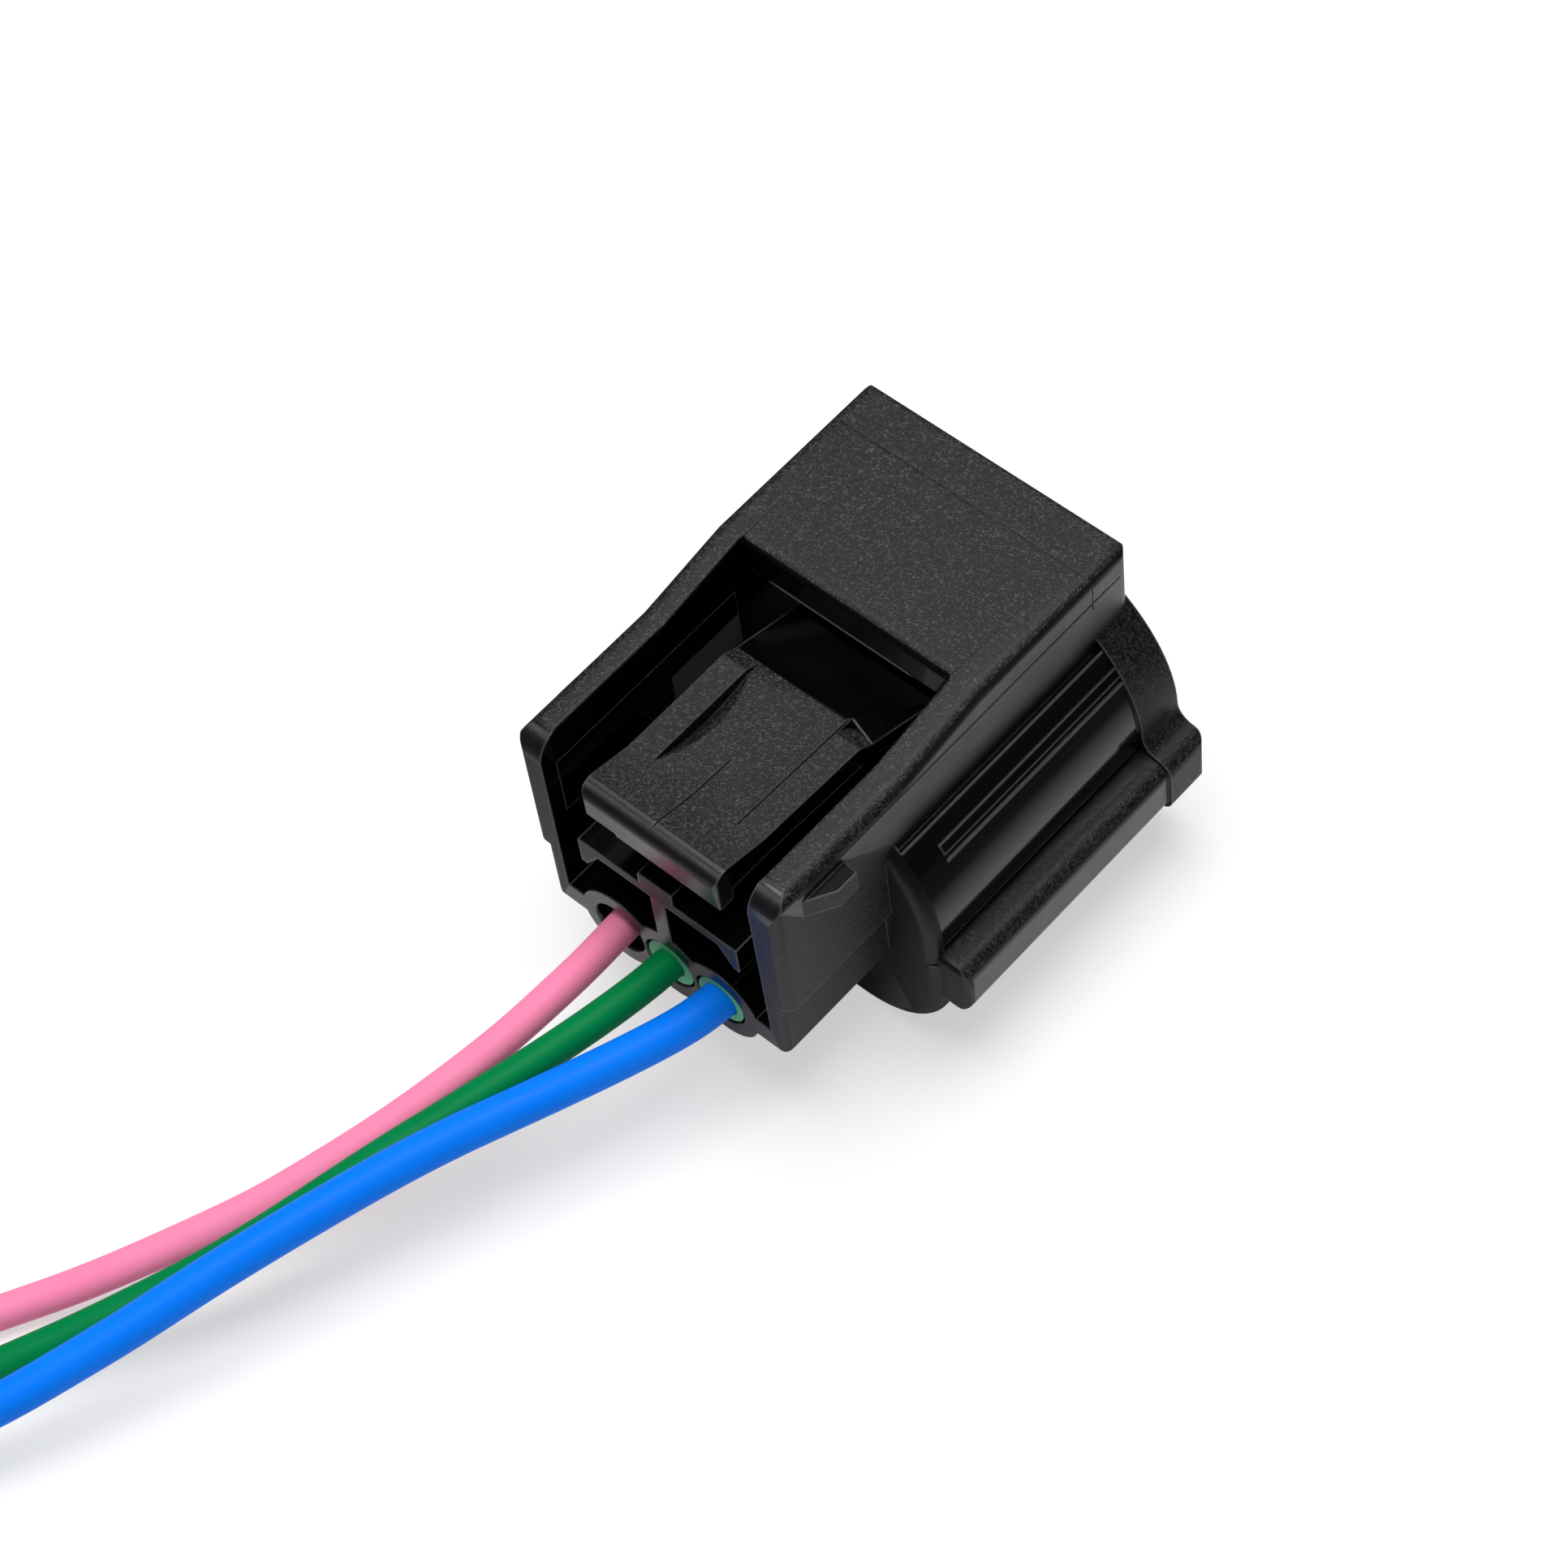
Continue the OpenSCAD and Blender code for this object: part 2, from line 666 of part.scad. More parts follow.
// Seal bores, contact cavities and the sockets of the latch pivot
module housing_bores() {
    for (x = contact_x) {
        about_y(x, axis_z) polygon([
            [0, rear_y - eps], [seal_bore / 2 + mouth_chamfer + eps, rear_y - eps],
            [seal_bore / 2, rear_y + 2 * mouth_chamfer], [seal_bore / 2, bore_y], [0, bore_y]
        ]);
        along_y(bore_y - eps, tower_y + eps) translate([x, axis_z])
            square([cavity_w, cavity_h], center = true);
    }
    both_sides() translate([0, pivot_y, pivot_z]) rotate([0, 90, 0])
        cylinder(d = pin_d + 2 * slide_gap, h = pocket_half + pin_reach + 2 * slide_gap);
}

module housing() color("#202124") difference() {
    union() {
        difference() {
            union() {
                deck_block();
                skirt_body();
                along_y(band_y, mate_y) skirt_outline(0);
                both_sides() {
                    guard_wall();
                    ramp_wall();
                    side_rib();
                    nub();
                    shoulder_lines();
                }
            }
            inner_space();
            both_sides() {
                shoulder_grooves();
                parting_lines();
            }
            hood_seam();
        }
        deck_edge();
        both_sides() along_y(rear_y + ledge_inset, deck_y - ledge_inset)
            translate([pocket_half - ledge_w, floor_z]) square([ledge_w + eps, ledge_rise]);
        seal_tubes();
        shelf();
        tower();
    }
    housing_bores();
}

// Height of the pad's middle at a station
function pad_top(y) = pad_z - pad_fall * (y - kink_y) / (pad_front_y - kink_y);

// Profile of the pad's middle, the sloping arm and the hook nib
module lever_profile() {
    low = lip_z - lip_h;
    under = lever_t / cos(atan2(pad_z - arm_z, arm_foot_y - pad_front_y));
    polygon([
        [pad_y + lip_lean, low], [pad_y, lip_z - lip_r], [pad_y, lip_z], [pad_y + lip_r, lip_z],
        [kink_y, pad_z], [pad_front_y, pad_z - pad_fall], [arm_foot_y, arm_z], [nib_y, arm_z],
        [nib_y, arm_z - lever_t], [nib_y - nib_len / 2, arm_z - lever_t - nib_h],
        [nib_y - nib_len, arm_z - lever_t - nib_h], [nib_y - nib_len, arm_z - lever_t],
        [arm_foot_y, arm_z - lever_t], [pad_front_y, pad_z - pad_fall - under],
        [kink_y, pad_z - lever_t], [pad_y + lip_t, pad_z - lever_t], [pad_y + lip_t, low]
    ]);
}

// Raised strip along the left side of the pad, flat on top and chamfered at its front
module strip_profile() {
    polygon([
        [kink_y, pad_z], [pad_front_y - strip_chamfer, pad_z],
        [pad_front_y, pad_z - pad_fall], [pad_front_y, pad_z - lever_t], [kink_y, pad_z - lever_t]
    ]);
}

// Scoop beside the raised strip, cut by a wide cone that fades towards the pad's middle
module strip_scoop() {
    r = pow(scoop_len, 2) / (8 * scoop_d) + scoop_d / 2;
    y = kink_y + scoop_inset + scoop_len / 2;
    translate([strip_w - pad_w / 2, y, pad_top(y) - scoop_d + r]) rotate([0, 90, 0])
        cylinder(r1 = r, r2 = r - scoop_d, h = scoop_w);
}

// Fine crease along the middle of the pad, over its rear lip, and the fine groove beside the level strip
module pad_creases() {
    along_x(-crease_w / 2, crease_w / 2) polygon([
        [pad_y - over, lip_z - crease_d], [pad_y + lip_r, lip_z - crease_d], [kink_y, pad_z - crease_d],
        [crease_y, pad_top(crease_y) - crease_d], [crease_y, deck_z], [pad_y - over, deck_z]
    ]);
    strip_x = pad_w / 2 - strip_w;
    along_x(strip_x - crease_w, strip_x) polygon([
        [kink_y, pad_z - crease_d], [pad_front_y + over, pad_top(pad_front_y + over) - crease_d],
        [pad_front_y + over, deck_z], [kink_y, deck_z]
    ]);
}

module latch_lever() color("#26272a") {
    difference() {
        union() {
            intersection() {
                along_x(-arm_w / 2, arm_w / 2) lever_profile();
                translate([0, 0, floor_z]) linear_extrude(deck_z - floor_z) {
                    translate([-pad_w / 2, pad_y]) square([pad_w, pad_len + eps]);
                    polygon([
                        [-pad_w / 2, pad_front_y], [pad_w / 2, pad_front_y], [arm_w / 2, arm_foot_y],
                        [arm_w / 2, nib_y], [-arm_w / 2, nib_y], [-arm_w / 2, arm_foot_y]
                    ]);
                }
            }
            along_x(-pad_w / 2, strip_w - pad_w / 2) strip_profile();
        }
        translate([-arm_w / 2, pad_y - over, lip_z - lip_h - over])
            cube([arm_w / 2 + lip_step_x, lip_t + 2 * over, lip_step + over]);
        along_x(-arm_w / 2, arm_w / 2) translate([pad_y, lip_z]) mirror([1, 0]) corner_cut(lip_r);
        both_sides() translate([pad_w / 2, pad_y, floor_z])
            linear_extrude(deck_z - floor_z) mirror([0, 1]) corner_cut(pad_corner_r);
        pad_creases();
        strip_scoop();
    }
    translate([-pocket_half - pin_reach, pivot_y, pivot_z]) rotate([0, 90, 0])
        cylinder(d = pin_d, h = 2 * (pocket_half + pin_reach));
}

// Cap on the front of the tower: a plate with pin windows and two clip arms
module front_retainer() color("#d9d5c7") {
    clip_x = tower_half + slide_gap;
    difference() {
        along_y(tower_y, tower_y + retainer_t) translate([0, axis_z]) {
            rounded_rect(2 * tower_half, tower_h, tower_r);
            square([2 * (clip_x + clip_t), clip_h], center = true);
        }
        for (x = contact_x) {
            along_y(tower_y - eps, tower_y + retainer_t + eps) translate([x, axis_z])
                square(window_w, center = true);
            along_y(tower_y + retainer_t - funnel_d, tower_y + retainer_t + eps) translate([x, axis_z])
                square(window_w + 2 * funnel_w, center = true);
        }
    }
    both_sides() {
        translate([clip_x, tower_y - clip_len, axis_z - clip_h / 2])
            cube([clip_t, clip_len + eps, clip_h]);
        translate([clip_x - clip_hook, tower_y - clip_len, axis_z - clip_h / 2])
            cube([clip_hook + eps, hook_len, clip_h]);
    }
}

// Ring seal round the foot of the tower, with two ribs
module mating_seal() color("#8fcf9a") {
    difference() {
        union() {
            along_y(chamber_y, chamber_y + ring_len) translate([0, axis_z])
                rounded_rect(2 * (tower_half + ring_t), tower_h + 2 * ring_t, tower_r + ring_t);
            for (k = [1, 3]) {
                y = chamber_y + ring_len * k / 4;
                along_y(y - ring_rib_w / 2, y + ring_rib_w / 2) translate([0, axis_z]) rounded_rect(
                    2 * (tower_half + ring_t + ring_rib), tower_h + 2 * (ring_t + ring_rib),
                    tower_r + ring_t + ring_rib
                );
            }
        }
        along_y(chamber_y - eps, chamber_y + ring_len + eps) translate([0, axis_z])
            rounded_rect(2 * (tower_half + grip_gap), tower_h + 2 * grip_gap, tower_r + grip_gap);
    }
}

// Seal on a lead: a flange in the bore's mouth, three soft ribs and a neck inside the crimp
module wire_seal(i) color("#8fd0a0") {
    y0 = rear_y + seal_depth[i];
    rib_r = seal_bore / 2 - rib_gap;
    core_r = rib_r - seal_rib_h;
    lead_r = lead_d[i] / 2;
    rib_step = (seal_front_y - y0) / seal_ribs;
    about_y(contact_x[i], axis_z) difference() {
        union() {
            translate([0, y0]) square([core_r, seal_front_y - y0]);
            translate([0, y0]) square([rib_r, seal_flange]);
            translate([0, seal_front_y - eps])
                square([lead_r + neck_t, crimp_y - seal_front_y + eps]);
            for (k = [0 : seal_ribs - 1]) {
                translate([core_r, y0 + (k + 0.5) * rib_step]) intersection() {
                    circle(rib_r - core_r);
                    translate([-eps, -over]) square(2 * over);
                }
            }
        }
        translate([-eps, y0 - eps]) square([lead_r + grip_gap + eps, crimp_y - y0 + 2 * eps]);
    }
}

// Folded sheet terminal: contact box with its spring, wire crimp and seal crimp
module terminal(i) color("#c9b26a") translate([contact_x[i], 0, axis_z]) {
    neck_r = lead_d[i] / 2 + neck_t + grip_gap;
    core_r = core_d[i] / 2 + grip_gap;
    crimp_t = sheet_t - crimp_thinning;
    foot_z = sheet_t - box_h / 2;
    along_y(box_y, box_y + box_len) difference() {
        square([box_w, box_h], center = true);
        square([box_w - 2 * sheet_t, box_h - 2 * sheet_t], center = true);
        translate([-slit_w / 2, 0]) square([slit_w, box_h]);
    }
    along_x(-spring_w / 2, spring_w / 2) polygon([
        [spring_y, foot_z - eps], [spring_y + spring_foot, foot_z - eps],
        [spring_y + spring_len / 2, spring_top - sheet_t],
        [spring_y + spring_len - spring_foot, foot_z - eps], [spring_y + spring_len, foot_z - eps],
        [spring_y + spring_len / 2, spring_top]
    ]);
    along_y(barrel_y, barrel_y + barrel_len) difference() {
        circle(core_r + sheet_t);
        circle(core_r);
        translate([-slit_w / 2, 0]) square([slit_w, box_h]);
    }
    along_y(crimp_y - crimp_len, crimp_y) difference() {
        circle(neck_r + crimp_t);
        circle(neck_r);
        translate([-slit_w, 0]) square([2 * slit_w, 2 * neck_r]);
    }
    along_x(-tongue_w / 2, tongue_w / 2) {
        polygon([
            [crimp_y - tongue_lap, -neck_r], [crimp_y, -neck_r],
            [barrel_y, -core_r], [barrel_y + tongue_lap, -core_r],
            [barrel_y + tongue_lap, -core_r - sheet_t], [crimp_y, -neck_r - crimp_t],
            [crimp_y - tongue_lap, -neck_r - crimp_t]
        ]);
        polygon([
            [barrel_y + barrel_len - tongue_lap, -core_r], [barrel_y + barrel_len, -core_r],
            [box_y + tongue_lap, foot_z], [box_y + tongue_lap, -box_h / 2],
            [barrel_y + barrel_len - tongue_lap, -core_r - sheet_t]
        ]);
    }
}

// Stripped copper end of a lead, in the terminal's wire crimp
module crimped_core(i) color("#b8734a") {
    translate([contact_x[i], crimp_y, axis_z]) rotate([-90, 0, 0])
        cylinder(d = core_d[i], h = core_end_y - crimp_y);
}

function unit(v) = v / norm(v);

// Ring of points round a lead, square to its run
function lead_ring(c, d, r) =
    let (side = unit(cross(d, [0, 0, 1])), up = cross(side, d))
    [for (k = [0 : tube_sides - 1])
        let (a = 360 * k / tube_sides) c + r * (cos(a) * side + sin(a) * up)];

// Tube swept along a lead's route
module lead_tube(i, route) {
    path = concat(
        [[contact_x[i], crimp_y, axis_z], [contact_x[i], rear_y, axis_z]],
        route
    );
    n = len(path);
    rings = [for (k = [0 : n - 1])
        lead_ring(path[k], unit(path[min(k + 1, n - 1)] - path[max(k - 1, 0)]), lead_d[i] / 2)];
    points = [for (ring = rings, p = ring) p];
    m = tube_sides;
    sides = [for (k = [0 : n - 2], j = [0 : m - 1])
        let (a = k * m + j, b = k * m + (j + 1) % m)
        each [[a, b, b + m], [a, b + m, a + m]]];
    first = [for (j = [m - 1 : -1 : 0]) j];
    last = [for (j = [0 : m - 1]) (n - 1) * m + j];
    polyhedron(points, concat(sides, [first, last]));
}

module lead_pink() color("#f48fb0") lead_tube(0, pink_route);
module lead_green() color("#0f7a3c") lead_tube(1, green_route);
module lead_blue() color("#1f78e0") lead_tube(2, blue_route);

// Outer shape of the coiled leads
module lead_coil() color("#7f8f9a") {
    translate(coil_centre) rotate_extrude() translate([(coil_in + coil_out) / 2, coil_h / 2])
        rounded_rect(coil_out - coil_in, coil_h, coil_round);
}

// Nylon tie round the bundle, with its head on the outside
module lead_tie() color("#e8e6df") {
    inner = coil_in - tie_play;
    outer = coil_out + tie_play;
    top = coil_h + tie_t;
    translate(coil_centre) rotate(tie_angle) {
        along_y(-tie_w / 2, tie_w / 2) difference() {
            translate([inner - tie_t, 0]) square([outer - inner + 2 * tie_t, top + tie_t]);
            translate([inner, tie_t]) square([outer - inner, coil_h]);
        }
        translate([outer, -tie_head / 2, 0]) cube([tie_head / 2, tie_head, tie_head]);
    }
}

housing();
latch_lever();
front_retainer();
mating_seal();
wire_seal(0);  // wire_seal_1
wire_seal(1);  // wire_seal_2
wire_seal(2);  // wire_seal_3
terminal(0);  // terminal_1
terminal(1);  // terminal_2
terminal(2);  // terminal_3
crimped_core(0);  // crimped_core_1
crimped_core(1);  // crimped_core_2
crimped_core(2);  // crimped_core_3
lead_pink();
lead_green();
lead_blue();
lead_coil();
lead_tie();
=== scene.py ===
import json
import math

import bmesh
import bpy
import numpy as np
from mathutils import Matrix, Vector

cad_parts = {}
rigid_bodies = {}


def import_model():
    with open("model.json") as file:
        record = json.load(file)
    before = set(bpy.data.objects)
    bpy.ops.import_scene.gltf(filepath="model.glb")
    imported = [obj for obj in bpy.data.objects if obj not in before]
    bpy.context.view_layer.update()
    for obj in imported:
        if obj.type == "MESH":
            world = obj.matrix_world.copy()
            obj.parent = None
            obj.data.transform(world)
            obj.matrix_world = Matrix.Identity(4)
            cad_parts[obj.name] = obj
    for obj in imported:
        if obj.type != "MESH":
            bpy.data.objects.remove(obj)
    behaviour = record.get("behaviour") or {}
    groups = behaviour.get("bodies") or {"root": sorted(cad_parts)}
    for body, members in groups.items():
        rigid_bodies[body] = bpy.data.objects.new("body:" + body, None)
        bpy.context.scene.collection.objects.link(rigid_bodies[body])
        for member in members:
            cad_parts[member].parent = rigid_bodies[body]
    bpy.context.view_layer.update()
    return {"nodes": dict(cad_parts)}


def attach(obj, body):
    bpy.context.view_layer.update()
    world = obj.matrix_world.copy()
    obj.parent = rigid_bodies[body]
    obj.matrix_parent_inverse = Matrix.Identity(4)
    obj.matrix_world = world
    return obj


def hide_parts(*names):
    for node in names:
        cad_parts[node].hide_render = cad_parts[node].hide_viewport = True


for spare in list(bpy.data.objects):
    bpy.data.objects.remove(spare)
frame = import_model()

# Camera. A long lens looks down on the rear of the connector from its right, rolled a little, so that the
# leads run out of the picture at the lower left. Its right and back directions were fitted to the housing.
mm = 0.001
lens_px = 5468.54
picture_px = 1932
camera_place = (99.208 * mm, -90.435 * mm, 207.189 * mm)
camera_right = Vector((0.745134, 0.661253, -0.086718))
camera_back = Vector((0.422902, -0.367947, 0.828112))
camera_up = camera_back.cross(camera_right)
camera_data = bpy.data.cameras.new("camera")
camera_data.sensor_width = 36
camera_data.lens = lens_px / picture_px * camera_data.sensor_width
camera_data.clip_start = 0.01
camera_data.clip_end = 20
camera = bpy.data.objects.new("camera", camera_data)
bpy.context.scene.collection.objects.link(camera)
camera_turn = Matrix((camera_right, camera_up, camera_back)).transposed().to_4x4()
camera.matrix_world = Matrix.Translation(camera_place) @ camera_turn
bpy.context.scene.camera = camera

# Leads. Three thin-wall automotive leads, PVC extruded over twisted copper strands, 150 mm long from the
# rear face, where each goes through its seal. They sag to the table, and the length outside the picture is
# wound in one flat coil of a turn and a half.
contact_x = (-3.6, 0.0, 3.6)
axis_z = 7.35
rear_y = -14.0
crimp_y = -6.6
lead_len = 150.0
strip_len = 5.0
straight_out = 1.0
path_step = 0.4
coil_points = 240
soft_points = 21
coil_centre = np.array((-11.9, -78.4))
coil_entry = math.radians(155)
coil_wound = math.radians(560)
coil_r = 13.5
coil_pitch = 4.0
tie_angle = math.radians(170)
tie_t = 0.5
hump_len = 5.0
pink_route = (
    (-3.5, -17, 7.2), (-3.8, -19.3, 7), (-4, -21.6, 6.6), (-4.9, -25.8, 5.9), (-6.1, -29.8, 5),
    (-7.5, -33.5, 4.2), (-9, -37, 3.3), (-10.8, -40.3, 2.6), (-12.6, -43.6, 2), (-14.4, -46.7, 1.5),
    (-16.4, -49.7, 1.1), (-18.3, -53.2, 1), (-19.8, -56.9, 1), (-21, -60.8, 1), (-22.2, -64.7, 1),
    (-23.4, -68.5, 1), (-25, -72.3, 1),
)
green_route = (
    (-0.2, -15.4, 7.3), (-0.5, -17.6, 7.2), (-1, -19.7, 7.1), (-1.5, -21.7, 6.9), (-2.1, -23.6, 6.7),
    (-3.3, -27.4, 6.3), (-4.6, -31.1, 5.8), (-5.8, -34.9, 5.2), (-7, -38.7, 4.6), (-8.4, -42.2, 4),
    (-10, -45.5, 3.4), (-11.6, -48.8, 2.9), (-13.4, -52, 2.4), (-15.1, -55.5, 2), (-16.8, -58.9, 1.6),
    (-18.4, -62.5, 1.3), (-20, -66, 1.1), (-21.6, -69.5, 1), (-23.2, -73.1, 1),
)
blue_route = (
    (3.1, -16.4, 7.3), (2.5, -18.3, 7.3), (1.8, -20.1, 7.3), (1.1, -21.9, 7.3), (-0.3, -25.3, 7.3),
    (-1.8, -28.8, 7.3), (-3.1, -32.3, 7.2), (-4.3, -35.9, 7), (-5.5, -39.5, 6.7), (-6.7, -43.2, 6.3),
    (-7.8, -46.9, 5.8), (-9.1, -50.5, 5.3), (-10.4, -54, 4.8), (-12.1, -57.4, 4.3), (-14.4, -60.4, 3.9),
    (-17, -63.4, 3.6), (-19.7, -66.3, 3.3), (-22.1, -69.3, 3.1), (-24.1, -72.7, 3),
)


def even_steps(points, step):
    """Points at even steps along a line, from its first point to its last."""
    points = np.asarray(points, float)
    run = np.r_[0, np.cumsum(np.linalg.norm(np.diff(points, axis=0), axis=1))]
    at = np.linspace(0, run[-1], max(2, round(run[-1] / step) + 1))
    return np.stack([np.interp(at, run, points[:, k]) for k in range(3)], axis=1)


def lead_line(x, route, offset, coil_z):
    """Centreline of a lead in mm: straight through its seal, along its route, then round the coil."""
    angle = np.linspace(0, coil_wound, coil_points)[1:]
    radius = coil_r + offset - coil_pitch * angle / (2 * math.pi)
    turn = coil_entry + angle
    off_tie = [(turn - tie_angle - 2 * math.pi * k) * radius / hump_len for k in range(2)]
    lift = sum(tie_t * np.exp(-(off ** 2)) for off in off_tie)
    coil_x = coil_centre[0] + radius * np.cos(turn)
    coil_y = coil_centre[1] + radius * np.sin(turn)
    coil = np.stack([coil_x, coil_y, coil_z + lift], axis=1)
    straight = [(x, crimp_y, axis_z), (x, rear_y - straight_out, axis_z)]
    line = even_steps(np.vstack([straight, route, coil]), path_step)
    soften = np.hanning(soft_points) / np.hanning(soft_points).sum()
    padded = [np.pad(line[:, k], soft_points // 2, "edge") for k in range(3)]
    soft = [np.convolve(way, soften, "valid") for way in padded]
    return even_steps(np.vstack([line[:1], np.stack(soft, axis=1)[1:]]), path_step)


def cut(line, start, end):
    """Part of an evenly stepped line between two distances from its first point."""
    return line[int(start / path_step): int(end / path_step) + 1]


def add_piece(name, verts, faces, material, body="housing"):
    """A smooth-shaded mesh piece from points in mm that rides on a body of the connector."""
    mesh = bpy.data.meshes.new(name)
    mesh.from_pydata([Vector(v) * mm for v in verts], [], faces)
    mesh.validate()
    mesh.shade_smooth()
    mesh.materials.append(material)
    piece = bpy.data.objects.new(name, mesh)
    bpy.context.scene.collection.objects.link(piece)
    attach(piece, body)
    return piece


def sweep(line, radius, sides):
    """Tube along a line, closed at both ends."""
    ahead = np.gradient(line, axis=0)
    ahead /= np.linalg.norm(ahead, axis=1)[:, None]
    side = np.cross(ahead, (0, 0, 1))
    side /= np.linalg.norm(side, axis=1)[:, None]
    up = np.cross(side, ahead)
    radius = np.broadcast_to(radius, len(line))
    verts, faces = [], []
    for i, centre in enumerate(line):
        for k in range(sides):
            a = 2 * math.pi * k / sides
            verts.append(centre + radius[i] * (math.cos(a) * side[i] + math.sin(a) * up[i]))
    for i in range(len(line) - 1):
        for k in range(sides):
            a, b = i * sides + k, i * sides + (k + 1) % sides
            faces.append((a, a + sides, b + sides, b))
    faces.append(tuple(range(sides)))
    faces.append(tuple(reversed(range(len(verts) - sides, len(verts)))))
    return verts, faces


def linear(hex_colour):
    """Linear RGBA of an sRGB hex colour."""
    parts = [int(hex_colour[k:k + 2], 16) / 255 for k in (1, 3, 5)]
    return tuple(c / 12.92 if c <= 0.04045 else ((c + 0.055) / 1.055) ** 2.4 for c in parts) + (1.0,)


def add_node(tree, kind, settings=None, links=None):
    """A shader node with its settings and inputs filled in, and other nodes' outputs linked to it."""
    new = tree.nodes.new(kind)
    for key, value in (settings or {}).items():
        if isinstance(key, int) or key in new.inputs:
            new.inputs[key].default_value = value
        else:
            setattr(new, key, value)
    for key, output in (links or {}).items():
        tree.links.new(output, new.inputs[key])
    return new


def start_material(name):
    """A material with an output alone, its node tree, and the coordinates in metres for its patterns."""
    material = bpy.data.materials.new(name)
    material.use_nodes = True
    tree = material.node_tree
    tree.nodes.clear()
    add_node(tree, "ShaderNodeOutputMaterial")
    return material, tree, add_node(tree, "ShaderNodeTexCoord").outputs["Object"]


def end_material(tree, shader):
    """Link a shader to the material's output."""
    tree.links.new(shader.outputs[0], tree.nodes["Material Output"].inputs["Surface"])


# PVC, extruded. A soft sheen with slow waves where the strands press through, about 3 mm long, and a colour
# that shifts very slightly along the run.
wave_mm = 3.0
wave_relief_mm = 0.06
shade_mm = 6.0


def extruded_pvc(name, light, dark):
    """Insulation in a colour that drifts between two shades."""
    material, tree, place = start_material(name)
    drift = {"Scale": 1 / (shade_mm * mm), "Detail": 2.0}
    shade = add_node(tree, "ShaderNodeTexNoise", drift, {"Vector": place})
    ends = {"data_type": "RGBA", 6: linear(dark), 7: linear(light)}
    colour = add_node(tree, "ShaderNodeMix", ends, {0: shade.outputs["Fac"]})
    swell = {"Scale": 1 / (wave_mm * mm), "Detail": 1.0}
    wave = add_node(tree, "ShaderNodeTexNoise", swell, {"Vector": place})
    relief = {"Strength": 0.35, "Distance": wave_relief_mm * mm}
    bump = add_node(tree, "ShaderNodeBump", relief, {"Height": wave.outputs["Fac"]})
    level = {"To Min": 0.36, "To Max": 0.46}
    gloss = add_node(tree, "ShaderNodeMapRange", level, {"Value": wave.outputs["Fac"]})
    shader = add_node(
        tree,
        "ShaderNodeBsdfPrincipled",
        {"IOR": 1.53, "Specular IOR Level": 0.05},
        {
            "Base Color": colour.outputs[2],
            "Roughness": gloss.outputs["Result"],
            "Normal": bump.outputs["Normal"],
        },
    )
    end_material(tree, shader)
    return material


# Copper, drawn and twisted. Bright metal with the strands' own grooves, a little browner in patches.
tarnish_mm = 0.8
copper, tree, place = start_material("copper_drawn_strands")
tarnish = {"Scale": 1 / (tarnish_mm * mm), "Detail": 3.0}
patch = add_node(tree, "ShaderNodeTexNoise", tarnish, {"Vector": place})
ends = {"data_type": "RGBA", 6: linear("#c98a5e"), 7: linear("#e3a67c")}
colour = add_node(tree, "ShaderNodeMix", ends, {0: patch.outputs["Fac"]})
level = {"To Min": 0.22, "To Max": 0.42}
rough = add_node(tree, "ShaderNodeMapRange", level, {"Value": patch.outputs["Fac"]})
look = {"Base Color": colour.outputs[2], "Roughness": rough.outputs["Result"]}
end_material(tree, add_node(tree, "ShaderNodeBsdfPrincipled", {"Metallic": 1.0}, look))

jacket_sides = 28
jacket_ease = 0.06
strand_count = 7
strand_sides = 10
strand_twist = 0.45
core_lap = 1
for name, i, route, offset, coil_z, lead_d, core_d, light, dark in (
    ("pink", 0, pink_route, 0.95, 0.97, 1.9, 1.2, "#ff93b9", "#ff88b2"),
    ("green", 1, green_route, -0.95, 0.97, 1.9, 1.2, "#008549", "#007b40"),
    ("blue", 2, blue_route, 0.0, 2.82, 2.2, 1.5, "#0a80ff", "#0679f8"),
):
    line = lead_line(contact_x[i], route, offset, coil_z)
    full = lead_len + crimp_y - rear_y
    jacket = cut(line, 0, full - strip_len)
    jacket_r = np.full(len(jacket), lead_d / 2)
    jacket_r[-1] -= jacket_ease
    verts, faces = sweep(jacket, jacket_r, jacket_sides)
    lead = add_piece(f"lead_{name}_jacket", verts, faces, extruded_pvc(f"pvc_{name}_extruded", light, dark))
    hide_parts(f"lead_{name}", "lead_coil")

    # Six strands lie round one, so each is a third as wide as the core.
    core = cut(line, full - strip_len - core_lap, full)
    strand_r = core_d / 6
    side = np.cross(np.gradient(core, axis=0), (0, 0, 1))
    side /= np.linalg.norm(side, axis=1)[:, None]
    verts, faces = [], []
    for k in range(strand_count):
        turn = strand_twist * np.arange(len(core)) * path_step + k * math.pi / 3
        reach = 0 if k == strand_count - 1 else 2 * strand_r
        strand = core + reach * (np.cos(turn)[:, None] * side + np.sin(turn)[:, None] * (0, 0, 1))
        strand_verts, strand_faces = sweep(strand, strand_r, strand_sides)
        faces += [tuple(v + len(verts) for v in face) for face in strand_faces]
        verts += strand_verts
    bare_end = add_piece(f"lead_{name}_bare_end", verts, faces, copper)

